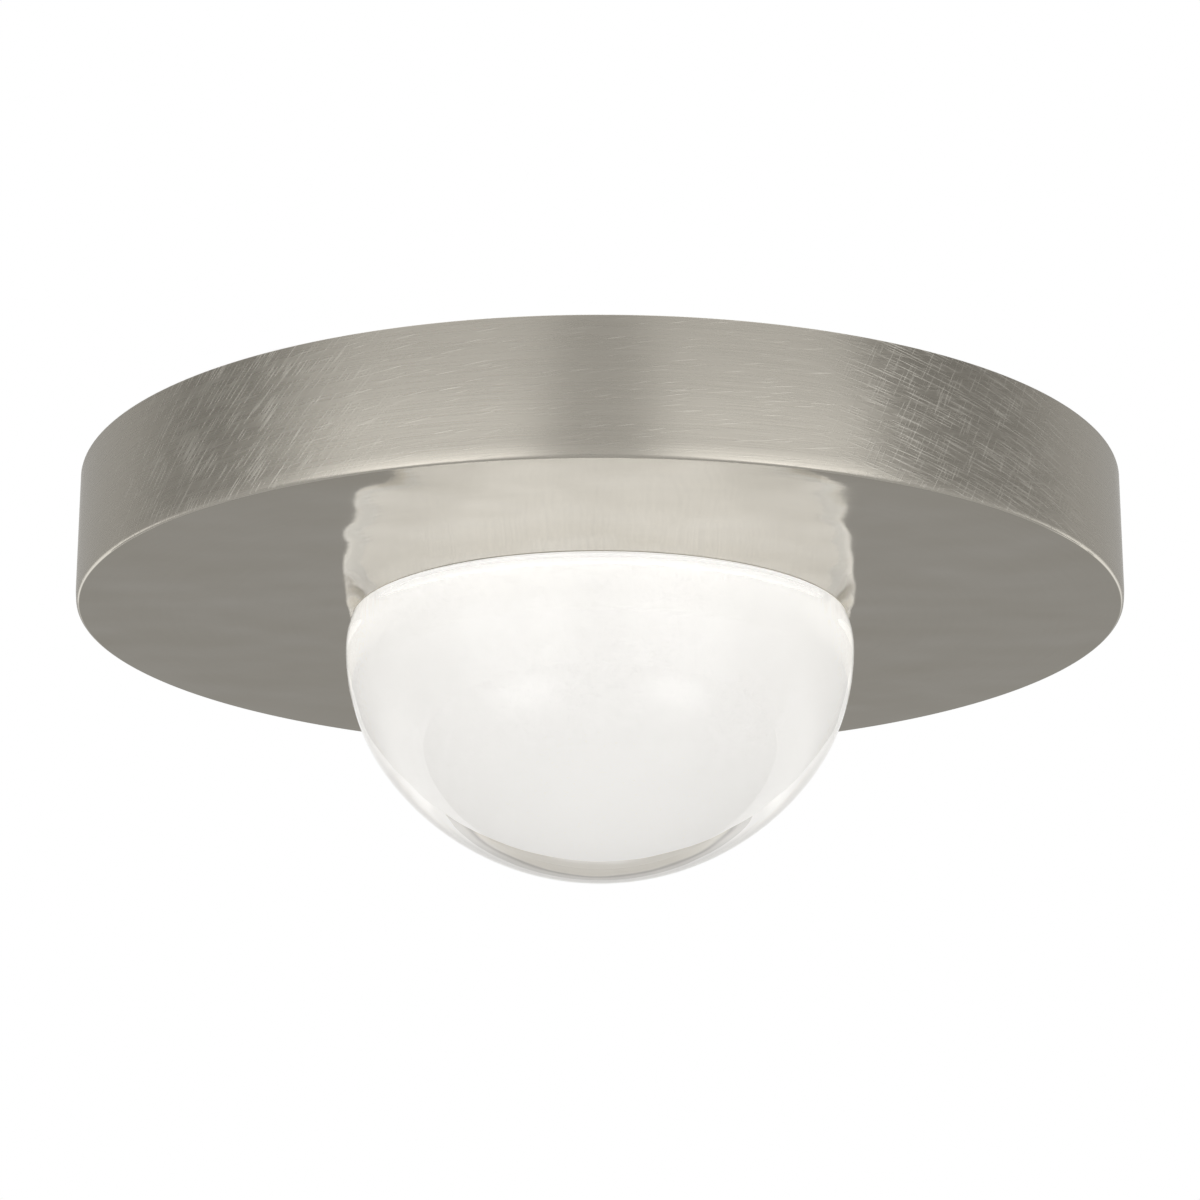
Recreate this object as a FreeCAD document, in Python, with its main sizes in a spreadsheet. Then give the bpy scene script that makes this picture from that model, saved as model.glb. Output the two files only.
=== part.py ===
import FreeCAD, Part
import math
import os

import Sketcher
from FreeCAD import Vector

# Flush mount ceiling light: a round metal pan against the ceiling, a thick glass dome under it, and the
# LED works that the pan hides. Millimetres, +Z up. The ceiling is the plane z = 0 and the light hangs
# below it, with its axis on Z. The dome unlocks by a turn about Z.

NAME_OF_SHEET = "Sizes"
ROOT_3 = math.sqrt(3)
FULL_TURN = 360

DRIVING_SIZES = [
    # Pan: wall and underside in one piece
    ("pan_radius", "152.5"),
    ("pan_depth", "38.1"),
    ("pan_wall", "2.0"),
    ("pan_floor", "2.0"),
    ("pan_edge_round", "1.0"),
    ("pan_inner_round", "1.5"),
    # Fasteners
    ("stud_radius", "2.0"),
    ("stud_hole_play", "0.2"),
    ("thread_play", "0.05"),
    ("nut_width", "7.0"),
    ("nut_height", "3.2"),
    ("stud_end", "1.8"),
    # Twist lock of the dome
    ("track_count", "3"),
    ("ring_thickness", "2.0"),
    ("ring_stud_margin", "7.3"),
    ("ring_edge_margin", "7.0"),
    ("spacer_length", "8.0"),
    ("spacer_radius", "4.0"),
    ("collar_radius", "47.0"),
    ("collar_wall", "1.6"),
    ("collar_play", "0.6"),
    ("collar_grip", "9.0"),
    ("lug_reach", "4.0"),
    ("lug_height", "2.0"),
    ("lug_angle", "24.0"),
    ("lug_play", "0.1"),
    ("lug_side_play", "0.7"),
    ("notch_angle_play", "2.0"),
    ("unlock_angle", "40.0"),
    ("stop_angle", "4.0"),
    ("stop_angle_play", "0.6"),
    ("stop_height", "3.0"),
    # Glass dome, its outside as three tangent arcs and its cavity as a cylinder and a sphere
    ("dome_radius", "74.3"),
    ("dome_belly_depth", "7.5"),
    ("dome_shoulder_curve", "22.5"),
    ("dome_side_offset", "13.1"),
    ("dome_bottom_gain", "16.6"),
    ("cavity_bulge", "3.1"),
    ("bond_gap", "2.0"),
    ("bond_play", "0.05"),
    ("bond_inset", "1.0"),
    ("gasket_thickness", "0.6"),
    ("gasket_play", "0.3"),
    ("gasket_inset", "2.3"),
    ("gasket_width", "9.0"),
    # Heat plate, heat sink and LED board
    ("plate_edge_margin", "7.0"),
    ("plate_thickness", "3.0"),
    ("sink_length", "52.0"),
    ("sink_width", "50.0"),
    ("sink_base", "4.0"),
    ("fin_height", "8.0"),
    ("fin_thickness", "1.6"),
    ("fin_count", "8"),
    ("pad_thickness", "0.5"),
    ("pad_margin", "1.0"),
    ("board_radius", "24.0"),
    ("board_thickness", "1.6"),
    ("board_tab_margin", "7.0"),
    ("board_tab_width", "13.0"),
    ("chip_side", "3.0"),
    ("chip_height", "0.7"),
    ("outer_chip_margin", "8.5"),
    ("outer_chip_count", "12"),
    ("chip_ring_gap", "8.0"),
    ("inner_chip_count", "6"),
    ("led_screw_count", "3"),
    ("led_screw_margin", "3.5"),
    ("led_screw_angle", "30.0"),
    ("led_screw_radius", "1.5"),
    ("led_screw_head_radius", "2.4"),
    ("led_screw_head_height", "1.6"),
    ("led_screw_depth", "3.0"),
    ("reflector_rim", "4.2"),
    ("reflector_thickness", "0.4"),
    ("reflector_play", "0.8"),
    # Bracket on the outlet box, and the studs that the light hangs from
    ("bracket_radius", "54.0"),
    ("bracket_thickness", "1.6"),
    ("bracket_rim", "5.0"),
    ("wire_hole_radius", "11.0"),
    ("box_screw_spacing", "79.4"),
    ("box_slot_length", "14.6"),
    ("box_slot_half_width", "2.3"),
    ("hanger_margin", "9.4"),
    ("hanger_stud_play", "0.4"),
    ("washer_radius", "5.5"),
    ("washer_thickness", "1.0"),
    ("cap_nut_radius", "5.0"),
    ("cap_nut_height", "6.0"),
    ("cap_nut_crown", "1.2"),
    ("cap_nut_engagement", "4.4"),
    ("cap_nut_flute", "0.5"),
    ("cap_nut_flute_count", "16"),
    ("ground_screw_place", "27.0"),
    ("ground_screw_head_radius", "4.2"),
    ("ground_screw_head_height", "3.0"),
    ("screw_slot_width", "0.9"),
    ("screw_slot_depth", "1.5"),
    ("screw_slot_overrun", "0.4"),
    # LED driver
    ("driver_gap", "12.0"),
    ("driver_length", "104.0"),
    ("driver_width", "40.0"),
    ("driver_height", "21.0"),
    ("driver_wall", "2.0"),
    ("driver_corner", "4.0"),
    ("driver_ear_reach", "13.0"),
    ("driver_ear_width", "16.0"),
    ("driver_lid_thickness", "2.0"),
    ("driver_boss_radius", "3.4"),
    ("driver_rib", "3.0"),
    ("driver_rib_place", "28.0"),
    ("lid_screw_radius", "1.25"),
    ("lid_screw_length", "8.0"),
    ("lid_screw_head_radius", "2.4"),
    ("lid_screw_head_height", "1.4"),
    ("driver_board_play", "1.0"),
    ("transformer_length", "24.0"),
    ("transformer_width", "22.0"),
    ("transformer_height", "11.0"),
    ("transformer_place", "6.0"),
    ("coil_length", "14.4"),
    ("coil_height", "8.8"),
    ("coil_overhang", "3.0"),
    ("capacitor_radius", "5.0"),
    ("capacitor_height", "11.0"),
    ("capacitor_place", "32.0"),
    ("capacitor_spacing", "12.0"),
    ("lead_port_radius", "3.6"),
    ("lead_port_height", "13.0"),
    # Terminal block for the house wiring
    ("terminal_margin", "52.5"),
    ("terminal_place_y", "22.0"),
    ("terminal_length", "38.0"),
    ("terminal_width", "17.0"),
    ("terminal_height", "15.0"),
    ("terminal_spacing", "12.0"),
    ("terminal_ear_reach", "10.0"),
    ("terminal_ear_height", "3.0"),
    ("terminal_wire_hole", "2.0"),
    ("terminal_wire_height", "6.0"),
    ("terminal_screw_radius", "2.6"),
    ("terminal_screw_sink", "1.6"),
    # Ground connection of the pan
    ("ground_margin", "38.5"),
    ("ground_place_y", "-48.0"),
    ("ground_lug_radius", "4.6"),
    ("ground_lug_thickness", "1.0"),
    ("ground_barrel_length", "8.0"),
    ("ground_barrel_radius", "1.9"),
    # Leads
    ("lead_radius", "0.8"),
    ("lead_spacing", "2.2"),
    ("grommet_gap", "0.6"),
    ("grommet_radius", "4.0"),
    ("grommet_bore", "2.2"),
    ("grommet_lip", "1.4"),
    ("grommet_lip_thickness", "1.2"),
    ("clip_margin", "12.0"),
    ("clip_place_y", "16.0"),
    ("clip_turn", "-44.0"),
    ("clip_length", "8.0"),
    ("clip_wall", "1.6"),
    ("clip_play", "0.3"),
    ("clip_foot", "3.0"),
    ("lead_rise", "3.2"),
]


class Size:
    """A number together with the formula on the sheet that gives it."""

    def __init__(self, number, formula):
        self.number = number
        self.formula = formula

    def joined(self, sign, other, number):
        right = other.formula if isinstance(other, Size) else repr(other)
        return Size(number, f"({self.formula} {sign} {right})")

    def __add__(self, other):
        return self.joined("+", other, self.number + number_of(other))

    def __sub__(self, other):
        return self.joined("-", other, self.number - number_of(other))

    def __mul__(self, other):
        return self.joined("*", other, self.number * number_of(other))

    def __truediv__(self, other):
        return self.joined("/", other, self.number / number_of(other))

    def __neg__(self):
        return Size(-self.number, f"(0 - {self.formula})")


def number_of(value):
    """The plain number of a size, or of a number."""
    return value.number if isinstance(value, Size) else value


def root(value):
    return Size(math.sqrt(value.number), f"sqrt({value.formula})")


def squared(value):
    return value * value


def cosine(angle):
    """The cosine of an angle in degrees."""
    return Size(math.cos(math.radians(angle.number)), f"cos({angle.formula})")


def sine(angle):
    """The sine of an angle in degrees."""
    return Size(math.sin(math.radians(angle.number)), f"sin({angle.formula})")


document = FreeCAD.newDocument("FlushMountCeilingLight")
sheet = document.addObject("Spreadsheet::Sheet", NAME_OF_SHEET)
size = {}
for row, (alias, text) in enumerate(DRIVING_SIZES, start=1):
    sheet.set(f"A{row}", alias)
    sheet.set(f"B{row}", text)
    sheet.setAlias(f"B{row}", alias)
    size[alias] = Size(float(text), f"{NAME_OF_SHEET}.{alias}")
document.recompute()

ZERO = Size(0.0, "0")


# ---- Sketches and features that the sub-parts are made with ----


def origin_of(body, role):
    """The body's own origin plane or axis with this role."""
    for feature in body.Origin.OriginFeatures:
        if feature.Role == role:
            return feature
    raise ValueError(role)


def new_body(label):
    body = document.addObject("PartDesign::Body", label)
    body.Label = label
    return body


def new_sketch(body, role="XY_Plane", place=(ZERO, ZERO, ZERO)):
    """A sketch on an origin plane, its own origin moved to a place that the sheet gives."""
    sketch = body.newObject("Sketcher::SketchObject", "Sketch")
    sketch.AttachmentSupport = [(origin_of(body, role), "")]
    sketch.MapMode = "FlatFace"
    for axis, distance in zip("xyz", place):
        sketch.setExpression(f"AttachmentOffset.Base.{axis}", distance.formula)
    return sketch


def constrain(sketch, kind, *terms, size_of=None):
    """Adds a constraint, and ties its value to the sheet if it has one."""
    if size_of is None:
        sketch.addConstraint(Sketcher.Constraint(kind, *terms))
        return
    index = sketch.addConstraint(Sketcher.Constraint(kind, *terms, size_of.number))
    sketch.setExpression(f"Constraints[{index}]", size_of.formula)


def place_point(sketch, edge, end, across, along):
    """Ties an edge's end to its distances from the sketch's axes."""
    if number_of(across) == 0:
        constrain(sketch, "PointOnObject", edge, end, -2)
    else:
        constrain(sketch, "DistanceX", -1, 1, edge, end, size_of=across)
    if number_of(along) == 0:
        constrain(sketch, "PointOnObject", edge, end, -1)
    else:
        constrain(sketch, "DistanceY", -1, 1, edge, end, size_of=along)


class Round:
    """An arc from the corner before it to the corner after it."""

    def __init__(self, across, along, radius):
        self.across = across
        self.along = along
        self.radius = radius


def add_arc(sketch, start, stop, arc):
    """Adds the shorter arc from start to stop, and returns its edge and the number of its start point."""
    centre = Vector(number_of(arc.across), number_of(arc.along), 0)
    first = math.atan2(start.y - centre.y, start.x - centre.x)
    last = math.atan2(stop.y - centre.y, stop.x - centre.x)
    forward = (last - first) % math.tau < math.pi
    circle = Part.Circle(centre, Vector(0, 0, 1), arc.radius.number)
    if forward:
        edge = sketch.addGeometry(Part.ArcOfCircle(circle, first, last), False)
    else:
        edge = sketch.addGeometry(Part.ArcOfCircle(circle, last, first), False)
    constrain(sketch, "Radius", edge, size_of=arc.radius)
    return edge, 1 if forward else 2


def outline(sketch, path):
    """A closed outline through corners (across, along), with an arc where a Round stands between two."""
    corners = [step for step in path if not isinstance(step, Round)]
    arcs = {}
    for index, step in enumerate(path):
        if isinstance(step, Round):
            arcs[corners.index(path[index - 1])] = step
    points = [Vector(number_of(across), number_of(along), 0) for across, along in corners]
    ends = []
    for index, start in enumerate(points):
        stop = points[(index + 1) % len(points)]
        if index in arcs:
            edge, start_point = add_arc(sketch, start, stop, arcs[index])
        else:
            edge = sketch.addGeometry(Part.LineSegment(start, stop), False)
            start_point = 1
        ends.append((edge, start_point))
    for index, (edge, start_point) in enumerate(ends):
        next_edge, next_start = ends[(index + 1) % len(ends)]
        constrain(sketch, "Coincident", edge, 3 - start_point, next_edge, next_start)
        place_point(sketch, edge, start_point, *corners[index])
    return sketch


def circle(sketch, radius, across=ZERO, along=ZERO):
    centre = Vector(across.number, along.number, 0)
    edge = sketch.addGeometry(Part.Circle(centre, Vector(0, 0, 1), radius.number), False)
    constrain(sketch, "Radius", edge, size_of=radius)
    place_point(sketch, edge, 3, across, along)
    return sketch


def rectangle(sketch, length, width):
    """A rectangle about the sketch's origin."""
    across = length / 2
    along = width / 2
    return outline(sketch, [(-across, -along), (across, -along), (across, along), (-across, along)])


def stadium(sketch, straight, radius):
    """A slot about the sketch's origin: its half circles are this far out on either side."""
    return outline(
        sketch,
        [
            (-straight, -radius),
            (straight, -radius),
            Round(straight, ZERO, radius),
            (straight + radius, ZERO),
            Round(straight, ZERO, radius),
            (straight, radius),
            (-straight, radius),
            Round(-straight, ZERO, radius),
            (-straight - radius, ZERO),
            Round(-straight, ZERO, radius),
        ],
    )


def hexagon(sketch, width):
    """A hexagon about the sketch's origin, with this width across flats."""
    half = width / 2
    low = half / ROOT_3
    high = low * 2
    corners = [(half, -low), (half, low), (ZERO, high), (-half, low), (-half, -low), (ZERO, -high)]
    return outline(sketch, corners)


def sector(sketch, inner, outer, first, last):
    """A piece of a ring between two radii and two angles."""
    near_first = (inner * cosine(first), inner * sine(first))
    far_first = (outer * cosine(first), outer * sine(first))
    far_last = (outer * cosine(last), outer * sine(last))
    near_last = (inner * cosine(last), inner * sine(last))
    return outline(
        sketch,
        [near_first, far_first, Round(ZERO, ZERO, outer), far_last, near_last, Round(ZERO, ZERO, inner)],
    )


def pad(body, sketch, length, downwards=False, centred=False):
    feature = body.newObject("PartDesign::Pad", "Pad")
    feature.Profile = sketch
    feature.Reversed = downwards
    feature.Midplane = centred
    feature.setExpression("Length", length.formula)
    return feature


def cut_through(body, sketch):
    feature = body.newObject("PartDesign::Pocket", "Cut")
    feature.Profile = sketch
    feature.Type = "ThroughAll"
    feature.Midplane = True
    return feature


def pocket(body, sketch, depth, upwards=False):
    """Cuts down from the sketch into the solid, or up."""
    feature = body.newObject("PartDesign::Pocket", "Pocket")
    feature.Profile = sketch
    feature.Reversed = upwards
    feature.setExpression("Length", depth.formula)
    return feature


def revolve(body, sketch):
    """A full turn of a profile about the sketch's vertical axis."""
    feature = body.newObject("PartDesign::Revolution", "Revolution")
    feature.Profile = sketch
    feature.ReferenceAxis = (sketch, ["V_Axis"])
    feature.Angle = FULL_TURN
    return feature


def around(body, features, count, axis=None):
    """Repeats features round the body's Z axis, or round a sketch's own axis."""
    pattern = body.newObject("PartDesign::PolarPattern", "Around")
    pattern.Originals = features
    pattern.Axis = axis if axis is not None else (origin_of(body, "Z_Axis"), [""])
    pattern.Angle = FULL_TURN
    pattern.setExpression("Occurrences", count.formula)
    body.Tip = pattern
    document.recompute()
    return pattern


def mirrored(body, features, role):
    """Repeats features on the other side of one of the body's planes."""
    pattern = body.newObject("PartDesign::Mirrored", "Mirrored")
    pattern.Originals = features
    pattern.MirrorPlane = (origin_of(body, role), [""])
    body.Tip = pattern
    document.recompute()
    return pattern


def upright_edges(shape, lowest_length):
    """The names of the straight vertical edges that are at least this long."""
    names = []
    for index, edge in enumerate(shape.Edges, start=1):
        box = edge.BoundBox
        straight_up = box.XLength < 0.01 and box.YLength < 0.01
        if straight_up and box.ZLength >= lowest_length:
            names.append(f"Edge{index}")
    return names


def round_corners(body, feature, radius):
    """Rounds the vertical edges of a feature."""
    document.recompute()
    fillet = body.newObject("PartDesign::Fillet", "Rounded")
    fillet.Base = (feature, upright_edges(feature.Shape, 0.01))
    fillet.setExpression("Radius", radius.formula)
    body.Tip = fillet
    document.recompute()
    return fillet


# ---- Levels and radii that several sub-parts share ----

underside = -size["pan_depth"]
floor_top = underside + size["pan_floor"]
ring_top = floor_top + size["ring_thickness"]
plate_bottom = ring_top + size["spacer_length"]
plate_top = plate_bottom + size["plate_thickness"]
board_top = plate_bottom - size["pad_thickness"]
board_bottom = board_top - size["board_thickness"]
bracket_bottom = -size["bracket_thickness"]
lug_bottom = ring_top + size["lug_play"]
collar_top = lug_bottom + size["lug_height"]
dome_top = underside - size["gasket_play"] - size["gasket_thickness"]

stud_hole = size["stud_radius"] + size["stud_hole_play"]
thread_hole = size["stud_radius"] + size["thread_play"]
ledge_radius = size["collar_radius"] + size["collar_play"]
lug_tip = size["collar_radius"] + size["lug_reach"]
pan_opening = lug_tip + size["lug_side_play"]
mouth_radius = size["collar_radius"] + size["bond_gap"]
half_lug = size["lug_angle"] / 2
unlocked = -size["unlock_angle"]

# The plate studs stand round the twist lock, the first of them on the +Y side
stud_place = pan_opening + size["ring_stud_margin"]
stud_circle_point = (ZERO, stud_place)
ring_radius = stud_place + size["ring_edge_margin"]
plate_radius = stud_place + size["plate_edge_margin"]
hanger_place = size["collar_radius"] - size["collar_wall"] - size["hanger_margin"]
pan_inside = size["pan_radius"] - size["pan_wall"]


# ---- Pan ----


def make_canopy_pan():
    body = new_body("canopy_pan")
    radius = size["pan_radius"]
    edge = size["pan_edge_round"]
    bend = size["pan_inner_round"]
    profile = outline(
        new_sketch(body, "XZ_Plane"),
        [
            (pan_opening, underside),
            (radius - edge, underside),
            Round(radius - edge, underside + edge, edge),
            (radius, underside + edge),
            (radius, ZERO),
            (pan_inside, ZERO),
            (pan_inside, floor_top + bend),
            Round(pan_inside - bend, floor_top + bend, bend),
            (pan_inside - bend, floor_top),
            (pan_opening, floor_top),
        ],
    )
    revolve(body, profile)
    return body


def make_plate_studs():
    body = new_body("plate_studs")
    base = new_sketch(body, place=(*stud_circle_point, floor_top))
    length = plate_top + size["nut_height"] + size["stud_end"] - floor_top
    stud = pad(body, circle(base, size["stud_radius"]), length)
    around(body, [stud], size["track_count"])
    return body


# ---- Twist lock ----


def make_bayonet_ring():
    body = new_body("bayonet_ring")
    blank = new_sketch(body, place=(ZERO, ZERO, floor_top))
    circle(blank, ring_radius)
    circle(blank, ledge_radius)
    pad(body, blank, size["ring_thickness"])
    half_notch = half_lug + size["notch_angle_play"]
    notch = new_sketch(body, place=(ZERO, ZERO, ring_top))
    inner = ledge_radius - size["collar_wall"]
    sector(notch, inner, pan_opening, unlocked - half_notch, unlocked + half_notch)
    around(body, [cut_through(body, notch)], size["track_count"])
    hole = circle(new_sketch(body, place=(*stud_circle_point, ring_top)), stud_hole)
    around(body, [cut_through(body, hole)], size["track_count"])
    locked_side = half_lug + size["stop_angle_play"]
    unlocked_side = unlocked - half_lug - size["stop_angle_play"]
    stop_width = size["stop_angle"]
    stops = []
    for first in (locked_side, unlocked_side - stop_width):
        stop = new_sketch(body, place=(ZERO, ZERO, ring_top))
        outer = pan_opening + size["ring_thickness"]
        sector(stop, ledge_radius, outer, first, first + stop_width)
        stops.append(pad(body, stop, size["stop_height"]))
    around(body, stops, size["track_count"])
    return body


def make_ring_spacers():
    body = new_body("ring_spacers")
    base = new_sketch(body, place=(*stud_circle_point, ring_top))
    circle(base, size["spacer_radius"])
    circle(base, stud_hole)
    around(body, [pad(body, base, size["spacer_length"])], size["track_count"])
    return body


def make_dome_collar():
    body = new_body("dome_collar")
    tube = new_sketch(body, place=(ZERO, ZERO, collar_top))
    circle(tube, size["collar_radius"])
    circle(tube, size["collar_radius"] - size["collar_wall"])
    pad(body, tube, collar_top - dome_top + size["collar_grip"], downwards=True)
    lug = new_sketch(body, place=(ZERO, ZERO, collar_top))
    root_radius = size["collar_radius"] - size["collar_wall"] / 2
    sector(lug, root_radius, lug_tip, -half_lug, half_lug)
    around(body, [pad(body, lug, size["lug_height"], downwards=True)], size["track_count"])
    return body


# ---- Glass dome and its seals ----


def make_glass_dome():
    body = new_body("glass_dome")
    radius = size["dome_radius"]
    belly = dome_top - size["dome_belly_depth"]
    shoulder = size["dome_shoulder_curve"]
    reach = size["dome_side_offset"]
    gain = size["dome_bottom_gain"]
    side = radius - reach
    bottom = side + gain
    top_radius = radius - shoulder + root(squared(shoulder) - squared(size["dome_belly_depth"]))
    # The bottom arc is tangent to the side arc where the line through their centres meets both
    rise = root(squared(gain) - squared(reach))
    bottom_centre = belly + rise
    meeting = (bottom * reach / gain, bottom_centre - bottom * rise / gain)
    cavity = mouth_radius + size["cavity_bulge"]
    mouth_end = dome_top - size["collar_grip"]
    cavity_centre = mouth_end + root(squared(cavity) - squared(mouth_radius))
    profile = outline(
        new_sketch(body, "XZ_Plane"),
        [
            (mouth_radius, dome_top),
            (top_radius, dome_top),
            Round(radius - shoulder, belly, shoulder),
            (radius, belly),
            Round(reach, belly, side),
            meeting,
            Round(ZERO, bottom_centre, bottom),
            (ZERO, bottom_centre - bottom),
            (ZERO, cavity_centre - cavity),
            Round(ZERO, cavity_centre, cavity),
            (mouth_radius, mouth_end),
        ],
    )
    revolve(body, profile)
    return body


def make_dome_bond():
    body = new_body("dome_bond")
    ring = new_sketch(body, place=(ZERO, ZERO, dome_top - size["bond_inset"]))
    circle(ring, mouth_radius - size["bond_play"])
    circle(ring, size["collar_radius"] + size["bond_play"])
    pad(body, ring, size["collar_grip"] - size["bond_inset"], downwards=True)
    return body


def make_dome_gasket():
    body = new_body("dome_gasket")
    ring = new_sketch(body, place=(ZERO, ZERO, dome_top))
    inner = pan_opening + size["gasket_inset"]
    circle(ring, inner + size["gasket_width"])
    circle(ring, inner)
    pad(body, ring, size["gasket_thickness"])
    return body


# ---- Heat plate and what it carries ----

led_screw_place = size["board_radius"] - size["led_screw_margin"]
led_screw_point = (
    led_screw_place * cosine(size["led_screw_angle"]),
    led_screw_place * sine(size["led_screw_angle"]),
)
led_screw_hole = size["led_screw_radius"] + size["thread_play"]
outer_chip_place = size["board_radius"] - size["outer_chip_margin"]
inner_chip_place = outer_chip_place - size["chip_ring_gap"]
grommet_place = size["sink_length"] / 2 + size["grommet_gap"] + size["grommet_lip"] + size["grommet_radius"]
board_tab_reach = grommet_place + size["board_tab_margin"]
reflector_radius = board_tab_reach + size["reflector_play"] + size["reflector_rim"]


def cut_led_screw_holes(body, height):
    hole = circle(new_sketch(body, place=(*led_screw_point, height)), led_screw_hole)
    around(body, [cut_through(body, hole)], size["led_screw_count"])


def cut_hanger_holes(body, height, radius):
    hole = circle(new_sketch(body, place=(ZERO, hanger_place, height)), radius)
    mirrored(body, [cut_through(body, hole)], "XZ_Plane")


def make_heat_plate():
    body = new_body("heat_plate")
    blank = circle(new_sketch(body, place=(ZERO, ZERO, plate_bottom)), plate_radius)
    pad(body, blank, size["plate_thickness"])
    hole = circle(new_sketch(body, place=(*stud_circle_point, plate_top)), stud_hole)
    around(body, [cut_through(body, hole)], size["track_count"])
    cut_hanger_holes(body, plate_top, stud_hole)
    cut_led_screw_holes(body, plate_top)
    grommet_hole = new_sketch(body, place=(grommet_place, ZERO, plate_top))
    cut_through(body, circle(grommet_hole, size["grommet_radius"]))
    return body


def make_heat_sink():
    body = new_body("heat_sink")
    base = rectangle(new_sketch(body, place=(ZERO, ZERO, plate_top)), size["sink_length"], size["sink_width"])
    pad(body, base, size["sink_base"])
    first_fin = (size["fin_thickness"] - size["sink_width"]) / 2
    fin_sketch = new_sketch(body, place=(ZERO, first_fin, plate_top + size["sink_base"]))
    fin = pad(body, rectangle(fin_sketch, size["sink_length"], size["fin_thickness"]), size["fin_height"])
    fins = body.newObject("PartDesign::LinearPattern", "Fins")
    fins.Originals = [fin]
    fins.Direction = (origin_of(body, "Y_Axis"), [""])
    fins.setExpression("Length", (size["sink_width"] - size["fin_thickness"]).formula)
    fins.setExpression("Occurrences", size["fin_count"].formula)
    body.Tip = fins
    document.recompute()
    hole = circle(new_sketch(body, place=(*led_screw_point, plate_top)), led_screw_hole)
    around(body, [pocket(body, hole, size["led_screw_depth"], upwards=True)], size["led_screw_count"])
    return body


def make_thermal_pad():
    body = new_body("thermal_pad")
    radius = size["board_radius"] - size["pad_margin"] / 2
    disc = circle(new_sketch(body, place=(ZERO, ZERO, board_top)), radius)
    pad(body, disc, size["pad_thickness"])
    cut_led_screw_holes(body, board_top)
    return body


def make_led_board():
    body = new_body("led_board")
    disc = circle(new_sketch(body, place=(ZERO, ZERO, board_bottom)), size["board_radius"])
    pad(body, disc, size["board_thickness"])
    tab = new_sketch(body, place=(board_tab_reach / 2, ZERO, board_bottom))
    rectangle(tab, board_tab_reach, size["board_tab_width"])
    pad(body, tab, size["board_thickness"])
    cut_led_screw_holes(body, board_bottom)
    return body


def make_led_chips():
    body = new_body("led_chips")
    rings = ((outer_chip_place, size["outer_chip_count"]), (inner_chip_place, size["inner_chip_count"]))
    for place, count in rings:
        base = new_sketch(body, place=(place, ZERO, board_bottom))
        rectangle(base, size["chip_side"], size["chip_side"])
        around(body, [pad(body, base, size["chip_height"], downwards=True)], count)
    return body


def make_led_screws():
    body = new_body("led_screws")
    head = circle(new_sketch(body, place=(*led_screw_point, board_bottom)), size["led_screw_head_radius"])
    head_pad = pad(body, head, size["led_screw_head_height"], downwards=True)
    shank = circle(new_sketch(body, place=(*led_screw_point, board_bottom)), size["led_screw_radius"])
    reach = plate_top + size["led_screw_depth"] - size["thread_play"] - board_bottom
    around(body, [head_pad, pad(body, shank, reach)], size["led_screw_count"])
    return body


def make_reflector_sheet():
    body = new_body("reflector_sheet")
    sheet_bottom = plate_bottom - size["reflector_thickness"]
    blank = new_sketch(body, place=(ZERO, ZERO, sheet_bottom))
    circle(blank, reflector_radius)
    circle(blank, size["board_radius"] + size["reflector_play"])
    pad(body, blank, size["reflector_thickness"])
    tab_length = board_tab_reach + size["reflector_play"]
    tab = new_sketch(body, place=(tab_length / 2, ZERO, plate_bottom))
    rectangle(tab, tab_length, size["board_tab_width"] + size["reflector_play"] * 2)
    cut_through(body, tab)
    cut_hanger_holes(body, plate_bottom, size["washer_radius"] + size["reflector_play"])
    return body


def make_lead_grommet():
    body = new_body("lead_grommet")
    waist = size["grommet_radius"] - size["thread_play"]
    lip = size["grommet_radius"] + size["grommet_lip"]
    over = size["grommet_lip_thickness"]
    # The lower lip is trimmed to the room that the pad leaves over the board's tab
    sections = (
        (plate_top, over, lip),
        (plate_bottom, size["plate_thickness"], waist),
        (plate_bottom - size["reflector_thickness"], size["reflector_thickness"], lip),
    )
    for height, length, radius in sections:
        ring = new_sketch(body, place=(grommet_place, ZERO, height))
        circle(ring, radius)
        circle(ring, size["grommet_bore"])
        pad(body, ring, length)
    return body


# ---- Bracket and hangers ----


def make_mounting_bracket():
    body = new_body("mounting_bracket")
    radius = size["bracket_radius"]
    sheet_metal = size["bracket_thickness"]
    rim_bottom = bracket_bottom - size["bracket_rim"]
    profile = outline(
        new_sketch(body, "XZ_Plane"),
        [
            (size["wire_hole_radius"], bracket_bottom),
            (radius - sheet_metal, bracket_bottom),
            (radius - sheet_metal, rim_bottom),
            (radius, rim_bottom),
            (radius, -sheet_metal),
            Round(radius - sheet_metal, -sheet_metal, sheet_metal),
            (radius - sheet_metal, ZERO),
            (size["wire_hole_radius"], ZERO),
        ],
    )
    revolve(body, profile)
    half_width = size["box_slot_half_width"]
    straight = size["box_slot_length"] / 2 - half_width
    slot = stadium(new_sketch(body, place=(size["box_screw_spacing"] / 2, ZERO, ZERO)), straight, half_width)
    mirrored(body, [cut_through(body, slot)], "YZ_Plane")
    cut_hanger_holes(body, ZERO, thread_hole)
    ground_hole = new_sketch(body, place=(size["ground_screw_place"], size["ground_screw_place"], ZERO))
    cut_through(body, circle(ground_hole, thread_hole))
    return body


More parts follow.
